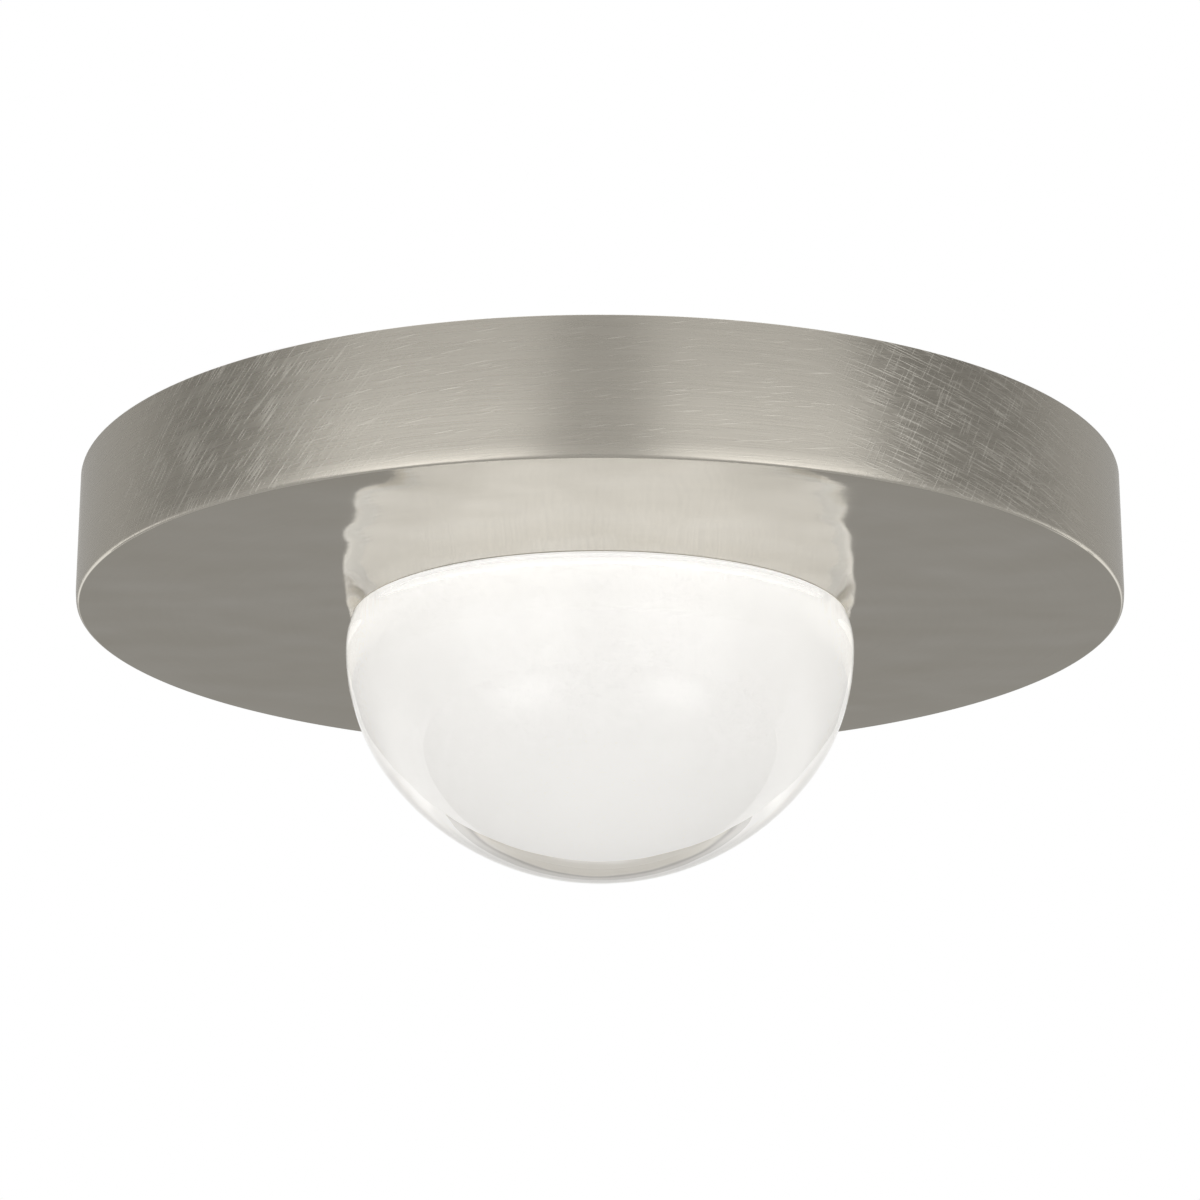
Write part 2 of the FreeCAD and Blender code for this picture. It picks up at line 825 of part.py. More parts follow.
def make_bracket_ground_screw():
    body = new_body("bracket_ground_screw")
    place = (size["ground_screw_place"], size["ground_screw_place"], bracket_bottom)
    head = circle(new_sketch(body, place=place), size["ground_screw_head_radius"])
    pad(body, head, size["ground_screw_head_height"], downwards=True)
    shank = circle(new_sketch(body, place=place), size["stud_radius"])
    pad(body, shank, size["bracket_thickness"] - size["thread_play"])
    slot_place = (place[0], place[1], bracket_bottom - size["ground_screw_head_height"])
    slot = new_sketch(body, place=slot_place)
    slot_length = (size["ground_screw_head_radius"] + size["screw_slot_overrun"]) * 2
    rectangle(slot, slot_length, size["screw_slot_width"])
    pocket(body, slot, size["screw_slot_depth"], upwards=True)
    return body


def hanger_pair(label, height, radii, length, downwards):
    """Two round pieces on the hangers' axes, solid or, with two radii, bored."""
    body = new_body(label)
    base = new_sketch(body, place=(ZERO, hanger_place, height))
    for radius in radii:
        circle(base, radius)
    mirrored(body, [pad(body, base, length, downwards)], "XZ_Plane")
    return body


washer_bottom = plate_bottom - size["washer_thickness"]


def make_hanger_studs():
    top = -size["hanger_stud_play"]
    length = top - washer_bottom + size["cap_nut_engagement"]
    return hanger_pair("hanger_studs", top, [size["stud_radius"]], length, True)


def make_hanger_lock_nuts():
    body = new_body("hanger_lock_nuts")
    base = new_sketch(body, place=(ZERO, hanger_place, bracket_bottom))
    hexagon(base, size["nut_width"])
    circle(base, thread_hole)
    mirrored(body, [pad(body, base, size["nut_height"], downwards=True)], "XZ_Plane")
    return body


def make_hanger_washers():
    radii = [size["washer_radius"], stud_hole]
    return hanger_pair("hanger_washers", plate_bottom, radii, size["washer_thickness"], True)


def make_hanger_nuts():
    """Knurled cap nuts with a crowned end."""
    body = new_body("hanger_nuts")
    radius = size["cap_nut_radius"]
    crown = size["cap_nut_crown"]
    bore_end = washer_bottom - size["cap_nut_engagement"] - size["thread_play"]
    nut_end = washer_bottom - size["cap_nut_height"]
    profile = outline(
        new_sketch(body, "XZ_Plane", place=(ZERO, ZERO, -hanger_place)),
        [
            (thread_hole, washer_bottom),
            (radius, washer_bottom),
            (radius, nut_end + crown),
            Round(radius - crown, nut_end + crown, crown),
            (radius - crown, nut_end),
            (ZERO, nut_end),
            (ZERO, bore_end),
            (thread_hole, bore_end),
        ],
    )
    revolve(body, profile)
    flute = new_sketch(body, place=(ZERO, hanger_place, washer_bottom))
    circle(flute, size["cap_nut_flute"], across=radius)
    around(body, [cut_through(body, flute)], size["cap_nut_flute_count"], axis=(flute, ["N_Axis"]))
    whole = body.newObject("PartDesign::Mirrored", "Mirrored")
    whole.TransformMode = "Whole shape"
    whole.MirrorPlane = (origin_of(body, "XZ_Plane"), [""])
    body.Tip = whole
    document.recompute()
    return body


# ---- LED driver ----

driver_place = plate_radius + size["driver_gap"] + size["driver_width"] / 2
driver_point = (ZERO, driver_place)
driver_inside_floor = floor_top + size["driver_wall"]
driver_case_top = floor_top + size["driver_height"]
driver_lid_top = driver_case_top + size["driver_lid_thickness"]
driver_ear_centre = size["driver_length"] / 2 + size["driver_ear_reach"] / 2
boss_across = size["driver_length"] / 2 - size["driver_wall"] - size["driver_boss_radius"] / 2
boss_along = size["driver_width"] / 2 - size["driver_wall"] - size["driver_boss_radius"] / 2
board_seat = driver_inside_floor + size["driver_rib"]
driver_board_face = board_seat + size["board_thickness"]
lid_screw_hole = size["lid_screw_radius"] + size["thread_play"]


def four_corners(body, height, radius, make):
    """Makes a round feature at each of the driver's four lid screws."""
    for across in (boss_across, -boss_across):
        for along in (boss_along, -boss_along):
            base = new_sketch(body, place=(across, driver_place + along, height))
            make(circle(base, radius))


def make_driver_case():
    body = new_body("driver_case")
    place = (*driver_point, floor_top)
    base = rectangle(new_sketch(body, place=place), size["driver_length"], size["driver_width"])
    block = pad(body, base, size["driver_height"])
    round_corners(body, block, size["driver_corner"])
    inside = new_sketch(body, place=(*driver_point, driver_case_top))
    wall = size["driver_wall"] * 2
    rectangle(inside, size["driver_length"] - wall, size["driver_width"] - wall)
    pocket(body, inside, size["driver_height"] - size["driver_wall"])
    boss_height = size["driver_height"] - size["driver_wall"]
    boss_radius = size["driver_boss_radius"]
    four_corners(body, driver_inside_floor, boss_radius, lambda base: pad(body, base, boss_height))
    hole_depth = size["lid_screw_length"]
    four_corners(body, driver_case_top, lid_screw_hole, lambda base: pocket(body, base, hole_depth))
    for side in (size["driver_rib_place"], -size["driver_rib_place"]):
        rib = new_sketch(body, place=(side, driver_place, driver_inside_floor))
        rectangle(rib, size["driver_wall"], size["driver_width"] - size["driver_wall"])
        pad(body, rib, size["driver_rib"])
    for side in (1, -1):
        ear = new_sketch(body, place=(driver_ear_centre * side, driver_place, floor_top))
        rectangle(ear, size["driver_ear_reach"], size["driver_ear_width"])
        pad(body, ear, size["driver_wall"])
        hole = new_sketch(body, place=(driver_ear_centre * side, driver_place, floor_top))
        cut_through(body, circle(hole, stud_hole))
    port_place = (driver_place, floor_top + size["lead_port_height"], ZERO)
    port = new_sketch(body, "YZ_Plane", place=port_place)
    cut_through(body, circle(port, size["lead_port_radius"]))
    return body


def make_driver_lid():
    body = new_body("driver_lid")
    place = (*driver_point, driver_case_top)
    base = rectangle(new_sketch(body, place=place), size["driver_length"], size["driver_width"])
    plate = pad(body, base, size["driver_lid_thickness"])
    round_corners(body, plate, size["driver_corner"])
    four_corners(body, driver_lid_top, lid_screw_hole, lambda base: cut_through(body, base))
    return body


def make_driver_lid_screws():
    body = new_body("driver_lid_screws")
    shank_length = size["lid_screw_length"] + size["driver_lid_thickness"] - size["thread_play"]
    head = (size["lid_screw_head_radius"], lambda base: pad(body, base, size["lid_screw_head_height"]))
    shank = (size["lid_screw_radius"], lambda base: pad(body, base, shank_length, downwards=True))
    four_corners(body, driver_lid_top, *head)
    four_corners(body, driver_lid_top, *shank)
    return body


def make_driver_board():
    body = new_body("driver_board")
    base = new_sketch(body, place=(*driver_point, board_seat))
    clear_of_bosses = (boss_across - size["driver_boss_radius"] - size["driver_board_play"]) * 2
    width = size["driver_width"] - (size["driver_wall"] + size["driver_board_play"]) * 2
    rectangle(base, clear_of_bosses, width)
    pad(body, base, size["board_thickness"])
    return body


def make_driver_transformer():
    """A ferrite core with its coil standing out on two sides."""
    body = new_body("driver_transformer")
    place = (-size["transformer_place"], driver_place, driver_board_face)
    core = rectangle(new_sketch(body, place=place), size["transformer_length"], size["transformer_width"])
    pad(body, core, size["transformer_height"])
    coil = new_sketch(body, place=place)
    rectangle(coil, size["coil_length"], size["transformer_width"] + size["coil_overhang"] * 2)
    pad(body, coil, size["coil_height"])
    return body


def make_driver_capacitors():
    body = new_body("driver_capacitors")
    half = size["capacitor_spacing"] / 2
    for along in (half, -half):
        place = (size["capacitor_place"], driver_place + along, driver_board_face)
        base = new_sketch(body, place=place)
        pad(body, circle(base, size["capacitor_radius"]), size["capacitor_height"])
    return body


# ---- Terminal block and ground ----

terminal_place = size["terminal_margin"] - pan_inside
terminal_point = (terminal_place, size["terminal_place_y"])
terminal_top = floor_top + size["terminal_height"]
terminal_ear_centre = size["terminal_length"] / 2 + size["terminal_ear_reach"] / 2
terminal_wire_level = floor_top + size["terminal_wire_height"]
terminal_poles = [-size["terminal_spacing"], ZERO, size["terminal_spacing"]]
well_depth = terminal_top - terminal_wire_level


def make_terminal_block():
    body = new_body("terminal_block")
    base = new_sketch(body, place=(*terminal_point, floor_top))
    pad(body, rectangle(base, size["terminal_width"], size["terminal_length"]), size["terminal_height"])
    ears = new_sketch(body, place=(*terminal_point, floor_top))
    ears_length = size["terminal_length"] + size["terminal_ear_reach"] * 2
    pad(body, rectangle(ears, size["terminal_width"], ears_length), size["terminal_ear_height"])
    for side in (1, -1):
        along = size["terminal_place_y"] + terminal_ear_centre * side
        hole = new_sketch(body, place=(terminal_place, along, floor_top))
        cut_through(body, circle(hole, stud_hole))
    for pole in terminal_poles:
        along = size["terminal_place_y"] + pole
        wire_hole = new_sketch(body, "YZ_Plane", place=(along, terminal_wire_level, ZERO))
        cut_through(body, circle(wire_hole, size["terminal_wire_hole"]))
        well = new_sketch(body, place=(terminal_place, along, terminal_top))
        pocket(body, circle(well, size["terminal_screw_radius"] + size["thread_play"]), well_depth)
    return body


def make_terminal_screws():
    body = new_body("terminal_screws")
    top = terminal_top - size["terminal_screw_sink"]
    length = top - terminal_wire_level - size["lead_radius"] - size["thread_play"]
    slot_length = (size["terminal_screw_radius"] + size["screw_slot_overrun"]) * 2
    for pole in terminal_poles:
        base = new_sketch(body, place=(terminal_place, size["terminal_place_y"] + pole, top))
        pad(body, circle(base, size["terminal_screw_radius"]), length, downwards=True)
        slot = new_sketch(body, place=(terminal_place, size["terminal_place_y"] + pole, top))
        rectangle(slot, slot_length, size["screw_slot_width"])
        pocket(body, slot, size["screw_slot_depth"])
    return body


ground_place = size["ground_margin"] - pan_inside

# Where each short stud stands on the pan's floor, and how thick the piece is that its nut holds down
short_studs = [
    (driver_ear_centre, driver_place, size["driver_wall"]),
    (-driver_ear_centre, driver_place, size["driver_wall"]),
    (terminal_place, size["terminal_place_y"] + terminal_ear_centre, size["terminal_ear_height"]),
    (terminal_place, size["terminal_place_y"] - terminal_ear_centre, size["terminal_ear_height"]),
    (ground_place, size["ground_place_y"], size["ground_lug_thickness"]),
]


def make_pan_studs():
    body = new_body("pan_studs")
    for across, along, held in short_studs:
        base = new_sketch(body, place=(across, along, floor_top))
        pad(body, circle(base, size["stud_radius"]), held + size["nut_height"] + size["stud_end"])
    return body


def make_stud_nuts():
    body = new_body("stud_nuts")
    for across, along, held in short_studs:
        base = new_sketch(body, place=(across, along, floor_top + held))
        hexagon(base, size["nut_width"])
        circle(base, thread_hole)
        pad(body, base, size["nut_height"])
    return body


def make_plate_nuts():
    body = new_body("plate_nuts")
    base = new_sketch(body, place=(*stud_circle_point, plate_top))
    hexagon(base, size["nut_width"])
    circle(base, thread_hole)
    around(body, [pad(body, base, size["nut_height"])], size["track_count"])
    return body


nut_corner = size["nut_width"] / ROOT_3
barrel_start = size["ground_place_y"] + nut_corner + size["clip_play"]
lug_barrel_level = floor_top + size["ground_barrel_radius"] + size["ground_lug_thickness"] / 2


def make_ground_lug():
    """A ring terminal: a flat ring, a tongue and the barrel that the ground lead is crimped in."""
    body = new_body("ground_lug")
    ring = new_sketch(body, place=(ground_place, size["ground_place_y"], floor_top))
    circle(ring, size["ground_lug_radius"])
    circle(ring, stud_hole)
    pad(body, ring, size["ground_lug_thickness"])
    tongue_start = size["ground_place_y"] + stud_hole + size["ground_lug_thickness"]
    tongue_end = barrel_start + size["ground_barrel_length"] / 2
    tongue_length = tongue_end - tongue_start
    tongue_place = (ground_place, tongue_start + tongue_length / 2, floor_top)
    tongue = rectangle(new_sketch(body, place=tongue_place), size["ground_barrel_radius"] * 2, tongue_length)
    pad(body, tongue, size["ground_lug_thickness"])
    barrel = new_sketch(body, "XZ_Plane", place=(ground_place, lug_barrel_level, -barrel_start))
    circle(barrel, size["ground_barrel_radius"])
    pad(body, barrel, size["ground_barrel_length"], downwards=True)
    return body


# ---- Leads: straight runs joined by tangent arcs ----

BEND_SHARE = 0.45


def lead_path(points):
    """A wire through the points, each bend as large as its shorter run allows, and the least bend radius."""
    edges = []
    radii = []
    start = points[0]
    for before, corner, after in zip(points, points[1:], points[2:]):
        arriving = corner - before
        leaving = after - corner
        half_bend = arriving.getAngle(leaving) / 2
        trim = BEND_SHARE * min(arriving.Length, leaving.Length)
        radius = trim / math.tan(half_bend)
        arriving.normalize()
        leaving.normalize()
        inward = leaving - arriving
        inward.normalize()
        apex = corner + inward * (radius / math.cos(half_bend) - radius)
        arc_end = corner + leaving * trim
        edges.append(Part.LineSegment(start, corner - arriving * trim).toShape())
        edges.append(Part.Arc(corner - arriving * trim, apex, arc_end).toShape())
        radii.append(radius)
        start = arc_end
    edges.append(Part.LineSegment(start, points[-1]).toShape())
    return Part.Wire(edges), min(radii)


def lead_tube(label, points):
    """A round tube along the points."""
    radius = size["lead_radius"].number
    path, least_bend = lead_path(points)
    section = Part.Wire(Part.Circle(points[0], points[1] - points[0], radius).toShape())
    tube = path.makePipeShell([section], True, False)
    expected = math.pi * radius**2 * path.Length
    print(f"{label}: bend radius from {least_bend:.1f} mm, volume {tube.Volume / expected:.4f} of its path")
    return tube


def beside(route, gap):
    """The points of a route, moved sideways by the gap, to the left of its heading."""
    moved = []
    for index, point in enumerate(route):
        heading = route[min(index + 1, len(route) - 1)] - route[max(index - 1, 0)]
        heading.z = 0
        if heading.Length > size["lead_radius"].number:
            heading.normalize()
            left = Vector(-heading.y, heading.x, 0)
        moved.append(point + left * gap)
    return moved


def lead_node(label, tubes):
    feature = document.addObject("Part::Feature", label)
    feature.Label = label
    feature.Shape = Part.makeCompound(tubes)
    feature.Placement = FreeCAD.Placement()
    return feature


clip_place = plate_radius - size["clip_margin"]
half_gap = size["lead_spacing"].number / 2
driver_end = size["driver_length"].number / 2 - size["driver_wall"].number
driver_y = driver_place.number
port_level = (floor_top + size["lead_port_height"]).number
clip_level = (plate_top + size["lead_rise"]).number
terminal_x = terminal_place.number
terminal_y = size["terminal_place_y"].number
terminal_side = terminal_x - size["terminal_width"].number / 2
wire_level = terminal_wire_level.number


def make_led_leads():
    """Two leads from the driver's output port over the heat plate and down its grommet to the tab."""
    grommet_x = grommet_place.number
    clip = Vector(clip_place.number, size["clip_place_y"].number, clip_level)
    turn = math.radians(size["clip_turn"].number)
    through_clip = Vector(math.sin(turn), -math.cos(turn), 0)
    route = [
        Vector(driver_end, driver_y, port_level),
        Vector(driver_end + 20, driver_y - 1, port_level),
        Vector(driver_end + 34, driver_y - 18, port_level + 0.5),
        Vector(driver_end + 35, driver_y - 39, port_level + 1.5),
        Vector(driver_end + 25, driver_y - 58, clip_level + 0.5),
        clip - through_clip * 13,
        clip + through_clip * 9,
        Vector(grommet_x + 8, 2.2, clip_level + 5),
        Vector(grommet_x, 0, clip_level + 1.2),
        Vector(grommet_x, 0, board_top.number),
    ]
    tubes = [lead_tube("led_leads", beside(route, gap)) for gap in (half_gap, -half_gap)]
    return lead_node("led_leads", tubes)


def make_supply_leads():
    """Two leads from the terminal block's outer side round to the driver's input port."""
    route = [
        Vector(terminal_side - 16, terminal_y + 30, wire_level + 1),
        Vector(terminal_side - 13, terminal_y + 47, wire_level + 3),
        Vector(-driver_end - 52, driver_y - 18, port_level - 3),
        Vector(-driver_end - 40, driver_y - 4, port_level - 1),
        Vector(-driver_end - 21, driver_y, port_level),
        Vector(-driver_end, driver_y, port_level),
    ]
    near_pole = terminal_y + terminal_poles[2].number
    far_pole = terminal_y + terminal_poles[1].number
    near_start = [
        Vector(terminal_x, near_pole, wire_level),
        Vector(terminal_side - 6, near_pole + 1, wire_level),
    ]
    far_start = [
        Vector(terminal_x, far_pole, wire_level),
        Vector(terminal_side - 7, far_pole, wire_level),
        Vector(terminal_side - 16, far_pole + 12, wire_level + 0.3),
    ]
    tubes = [
        lead_tube("supply_leads", near_start + beside(route, -half_gap)),
        lead_tube("supply_leads", far_start + beside(route, half_gap)),
    ]
    return lead_node("supply_leads", tubes)


def make_ground_lead():
    """The lead from the terminal block's third pole to the lug on the pan's ground stud."""
    pole_y = terminal_y + terminal_poles[0].number
    lug_x = ground_place.number
    barrel_end = (barrel_start + size["ground_barrel_length"]).number
    points = [
        Vector(terminal_x, pole_y, wire_level),
        Vector(terminal_side - 6, pole_y - 0.5, wire_level),
        Vector(terminal_side - 14, pole_y - 11, wire_level - 1),
        Vector(lug_x - 6.5, barrel_end + 20, wire_level - 2),
        Vector(lug_x, barrel_end + 10, lug_barrel_level.number),
        Vector(lug_x, barrel_end, lug_barrel_level.number),
    ]
    return lead_node("ground_lead", [lead_tube("ground_lead", points)])


def make_lead_clip():
    """A saddle on the heat plate that holds the two LED leads."""
    body = new_body("lead_clip")
    bore = size["lead_radius"] + size["clip_play"]
    shoulder = bore + size["clip_wall"]
    half_width = size["lead_spacing"] / 2 + shoulder
    foot_end = half_width + size["clip_foot"]
    level = size["lead_rise"]
    saddle = outline(
        new_sketch(body, "XZ_Plane"),
        [
            (-foot_end, ZERO),
            (foot_end, ZERO),
            (foot_end, size["clip_wall"]),
            (half_width, size["clip_wall"]),
            (half_width, level),
            Round(half_width - shoulder, level, shoulder),
            (half_width - shoulder, level + shoulder),
            (shoulder - half_width, level + shoulder),
            Round(shoulder - half_width, level, shoulder),
            (-half_width, level),
            (-half_width, size["clip_wall"]),
            (-foot_end, size["clip_wall"]),
        ],
    )
    pad(body, saddle, size["clip_length"], centred=True)
    channel = new_sketch(body, "XZ_Plane", place=(ZERO, level, ZERO))
    cut_through(body, stadium(channel, size["lead_spacing"] / 2, bore))
    body.Placement = FreeCAD.Placement(Vector(0, 0, 0), FreeCAD.Rotation(Vector(0, 0, 1), 1))
    body.setExpression("Placement.Base.x", clip_place.formula)
    body.setExpression("Placement.Base.y", size["clip_place_y"].formula)
    body.setExpression("Placement.Base.z", plate_top.formula)
    body.setExpression("Placement.Rotation.Angle", size["clip_turn"].formula)
    return body


def check_and_write(parts):
    """Writes every sub-part, once nothing in the document has failed."""
    document.recompute()
    for item in document.Objects:
        if "Invalid" in item.State or "Error" in item.State:
            raise RuntimeError(f"{item.Name} of {item.getParentGeoFeatureGroup()} failed: {item.State}")
    for part in parts:
        if part.Shape.isNull() or not part.Shape.isValid():
            raise RuntimeError(f"{part.Label} has no valid shape")
    os.makedirs("parts", exist_ok=True)
    for part in parts:
        part.Shape.exportStep(f"parts/{part.Label}.step")
        print(f"{part.Label}: {len(part.Shape.Solids)} solids, {part.Shape.Volume:.0f} mm3")


check_and_write(
    [
        make_canopy_pan(),
        make_plate_studs(),
        make_bayonet_ring(),
        make_ring_spacers(),
        make_heat_plate(),
        make_plate_nuts(),
        make_heat_sink(),
        make_thermal_pad(),
        make_led_board(),
        make_led_chips(),
        make_led_screws(),
        make_reflector_sheet(),
        make_lead_grommet(),
        make_lead_clip(),
        make_mounting_bracket(),
        make_hanger_studs(),
        make_hanger_lock_nuts(),
        make_hanger_washers(),
        make_hanger_nuts(),
        make_bracket_ground_screw(),
        make_driver_case(),
        make_driver_lid(),
        make_driver_lid_screws(),
        make_driver_board(),
        make_driver_transformer(),
        make_driver_capacitors(),
        make_terminal_block(),
        make_terminal_screws(),
        make_pan_studs(),
        make_stud_nuts(),
        make_ground_lug(),
        make_led_leads(),
        make_supply_leads(),
        make_ground_lead(),
        make_glass_dome(),
        make_dome_collar(),
        make_dome_bond(),
        make_dome_gasket(),
    ]
)
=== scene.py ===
"""Flush mount ceiling light: nickel pan, thick glass dome with a frosted cavity, and the LED works above it."""

from math import atan2, cos, degrees, pi, radians, sin

import bmesh
import bpy
from mathutils import Matrix, Vector


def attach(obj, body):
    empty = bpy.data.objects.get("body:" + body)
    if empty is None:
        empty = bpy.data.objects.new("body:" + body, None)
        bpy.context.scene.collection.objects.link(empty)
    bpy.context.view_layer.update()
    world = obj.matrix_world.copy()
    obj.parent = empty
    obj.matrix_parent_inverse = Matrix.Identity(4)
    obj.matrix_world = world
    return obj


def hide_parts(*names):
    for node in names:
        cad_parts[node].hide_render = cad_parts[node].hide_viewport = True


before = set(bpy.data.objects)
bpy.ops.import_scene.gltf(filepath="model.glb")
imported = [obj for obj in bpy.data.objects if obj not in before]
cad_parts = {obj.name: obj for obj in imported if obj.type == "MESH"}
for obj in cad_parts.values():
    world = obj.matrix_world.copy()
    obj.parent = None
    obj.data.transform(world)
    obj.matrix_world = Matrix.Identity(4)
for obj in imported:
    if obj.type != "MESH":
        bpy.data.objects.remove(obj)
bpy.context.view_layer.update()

# ---- Camera ----
# A long lens a metre off, below the ceiling and tilted up at the dome, so that the far edge of the pan's
# underside shows above the glass.

EYE = (0, -0.95323, -0.31095)
UPWARD_TILT = 0.2859
SENSOR_WIDTH = 36
LENS = 101.244

lens = bpy.data.cameras.new("camera")
lens.sensor_width = SENSOR_WIDTH
lens.lens = LENS
lens.clip_start = 0.01
camera = bpy.data.objects.new("camera", lens)
camera.location = EYE
camera.rotation_euler = (pi / 2 + UPWARD_TILT, 0, 0)
bpy.context.collection.objects.link(camera)
bpy.context.scene.camera = camera
bpy.context.scene.view_settings.view_transform = "Standard"
bpy.context.scene.cycles.max_bounces = 24
bpy.context.scene.cycles.glossy_bounces = 12
bpy.context.scene.cycles.transmission_bounces = 16

# ---- Studio ----
# White paper all round, which the camera and the clear glass see, and a pale floor far below. The metal mirrors
# the grey of the room behind the soft boxes, so that its shape reads.


class Wire:
    """A socket of a node tree. Sums written with it add Math nodes to its tree."""

    def __init__(self, socket):
        self.socket = socket

    @staticmethod
    def node(tree, kind, settings=(), inputs=(), output=0):
        """A new node: its settings first, then the values or wires of its sockets."""
        made = tree.nodes.new("ShaderNode" + kind)
        for name, value in dict(settings).items():
            if name == "stops":
                spare = made.color_ramp.elements
                while len(spare) < len(value):
                    spare.new(0.5)
                for stop, (place, colour) in zip(spare, value):
                    stop.position = place
                    stop.color = (*colour, 1)
            else:
                setattr(made, name, value)
        for name, value in dict(inputs).items():
            Wire.join(made.inputs[name], value)
        return Wire(made.outputs[output])

    @staticmethod
    def join(socket, value):
        if isinstance(value, Wire):
            socket.id_data.links.new(value.socket, socket)
        elif socket.type == "RGBA" and len(value) == 3:
            socket.default_value = (*value, 1)
        else:
            socket.default_value = value

    def math(self, operation, first, second):
        return Wire.node(self.socket.id_data, "Math", {"operation": operation}, {0: first, 1: second})

    def __add__(self, other):
        return self.math("ADD", self, other)

    def __sub__(self, other):
        return self.math("SUBTRACT", self, other)

    def __rsub__(self, other):
        return self.math("SUBTRACT", other, self)

    def __mul__(self, other):
        return self.math("MULTIPLY", self, other)

    def __pow__(self, other):
        return self.math("POWER", self, other)

    def __lt__(self, other):
        return self.math("LESS_THAN", self, other)

    def __gt__(self, other):
        return self.math("GREATER_THAN", self, other)

    __radd__ = __add__
    __rmul__ = __mul__


def between(low, high, share):
    """The colour that lies a share of the way from low to high."""
    return Wire.node(share.socket.id_data, "Mix", {"data_type": "RGBA"}, {0: share, 6: low, 7: high}, 2)


PAPER = (1, 1, 1)
ROOM_LIGHT = (0.42, 0.42, 0.42)
WARM_GREY = (1, 0.985, 0.955)
# Bounds in degrees of a window that reaches all the way to the front, to the back or down
FRONT = -1
BACK = 400
DOWN = -100


def past(value, edge, blur):
    """1 where a value is over an edge that is as soft as the blur each way, and 0 below it."""
    ends = {0: value, 1: edge - blur, 2: edge + blur, 3: 0, 4: 1}
    return Wire.node(value.socket.id_data, "MapRange", {"interpolation_type": "SMOOTHSTEP"}, ends)


def window(value, low, high, low_blur, high_blur):
    """1 where a value lies between low and high."""
    return past(value, low, low_blur) * (1 - past(value, high, high_blur))


world = bpy.data.worlds.new("studio")
world.use_nodes = True
bpy.context.scene.world = world
sky = world.node_tree
ray = sky.nodes.new("ShaderNodeLightPath").outputs
way = sky.nodes.new("ShaderNodeSeparateXYZ")
sky.links.new(sky.nodes.new("ShaderNodeTexCoord").outputs["Generated"], way.inputs[0])
ahead = Wire(way.outputs["Y"]) * -1
azimuth = Wire(way.outputs["X"]).math("ARCTAN2", Wire(way.outputs["X"]), ahead) * (180 / pi)
elevation = ahead.math("ARCSINE", Wire(way.outputs["Z"]), 0) * (180 / pi)
aside = ahead.math("ABSOLUTE", azimuth, 0)

# Dim to the sides, lighter behind, with a tall soft box each side of the camera that is brightest low down
room = 0.26 + 0.18 * window(aside, 112, BACK, 14, 1) - 0.06 * window(elevation, DOWN, -4, 1, 8)
tall = window(azimuth, -71, 61, 20, 7) * (1 - 0.42 * window(aside, FRONT, 10, 1, 5))
high_light = 0.36 * tall * window(elevation, -4, 60, 10, 12)
low_side = 0.3 * window(aside, FRONT, 104, 1, 14) + 0.85 * window(aside, 13, 62, 6, 14)
low_light = low_side * window(elevation, -62, 8, 14, 10)
back_light = 0.75 * window(aside, 104, 164, 10, 6) * window(elevation, -60, -8, 14, 8)
back_light = back_light + 0.35 * window(aside, 164, BACK, 6, 1) * window(elevation, 4, 46, 6, 10)
boxes = high_light + low_light + back_light
boxes = Wire.node(sky, "CombineXYZ", {}, {0: boxes, 1: boxes, 2: boxes})
mirrored = Wire.node(sky, "VectorMath", {"operation": "SCALE"}, {0: WARM_GREY, "Scale": room})
mirrored = Wire.node(sky, "VectorMath", {"operation": "ADD"}, {0: mirrored, 1: boxes})
# What lights matt faces is strongest from the front
from_front = 0.35 + 1.75 * window(aside, FRONT, 50, 1, 40)
falling = Wire.node(sky, "VectorMath", {"operation": "SCALE"}, {0: ROOM_LIGHT, "Scale": from_front})
falling = Wire.node(
    sky, "VectorMath", {"operation": "MULTIPLY_ADD"}, {0: mirrored, 1: (0.5, 0.5, 0.5), 2: falling}
)

# The room, not the paper, is what a ray finds after a matt face, and partly what it finds after metal
after_matt = Wire(ray["Diffuse Depth"]) > 0.5
after_metal = Wire(ray["Glossy Depth"]) > 0.5
direct = (1 - after_matt) * (1 - 0.4 * after_metal)
clear = Wire(ray["Is Camera Ray"]) + Wire(ray["Is Transmission Ray"]) * direct
seen_light = between(falling, mirrored, Wire(ray["Is Glossy Ray"]))
Wire.join(sky.nodes["Background"].inputs["Color"], between(seen_light, PAPER, clear))

FLOOR_LEVEL = -1.6
FLOOR_RADIUS = 3.0
FLOOR_COLOUR = (0.8, 0.8, 0.8)
FLOOR_GLOW = 0.35
EDGE_GLOW = 0.2
LOW_BOX = (1.36, 1.56, 1.6)
LOW_BOX_RADIUS = 0.6
LOW_BOX_BLUR = 0.55
LOW_BOX_GLOW = 1.9

paper = bpy.data.materials.new("paper")
paper.use_nodes = True
sheet = paper.node_tree
ray = sheet.nodes.new("ShaderNodeLightPath").outputs
shown = Wire(ray["Is Camera Ray"]) + Wire(ray["Is Transmission Ray"])
# Two low soft boxes lie on the paper before the light and show only in what mirrors them
place = Wire.node(sheet, "TexCoord", output="Object")
mirrored = Wire.node(sheet, "VectorMath", {"operation": "ABSOLUTE"}, {0: place})
from_box = Wire.node(sheet, "VectorMath", {"operation": "DISTANCE"}, {0: mirrored, 1: LOW_BOX}, 1)
ahead = Wire(Wire.node(sheet, "SeparateXYZ", {}, {0: place}).socket.node.outputs["Y"]) < 0
from_middle = Wire.node(sheet, "VectorMath", {"operation": "DISTANCE"}, {0: place, 1: (0, 0, FLOOR_LEVEL)}, 1)
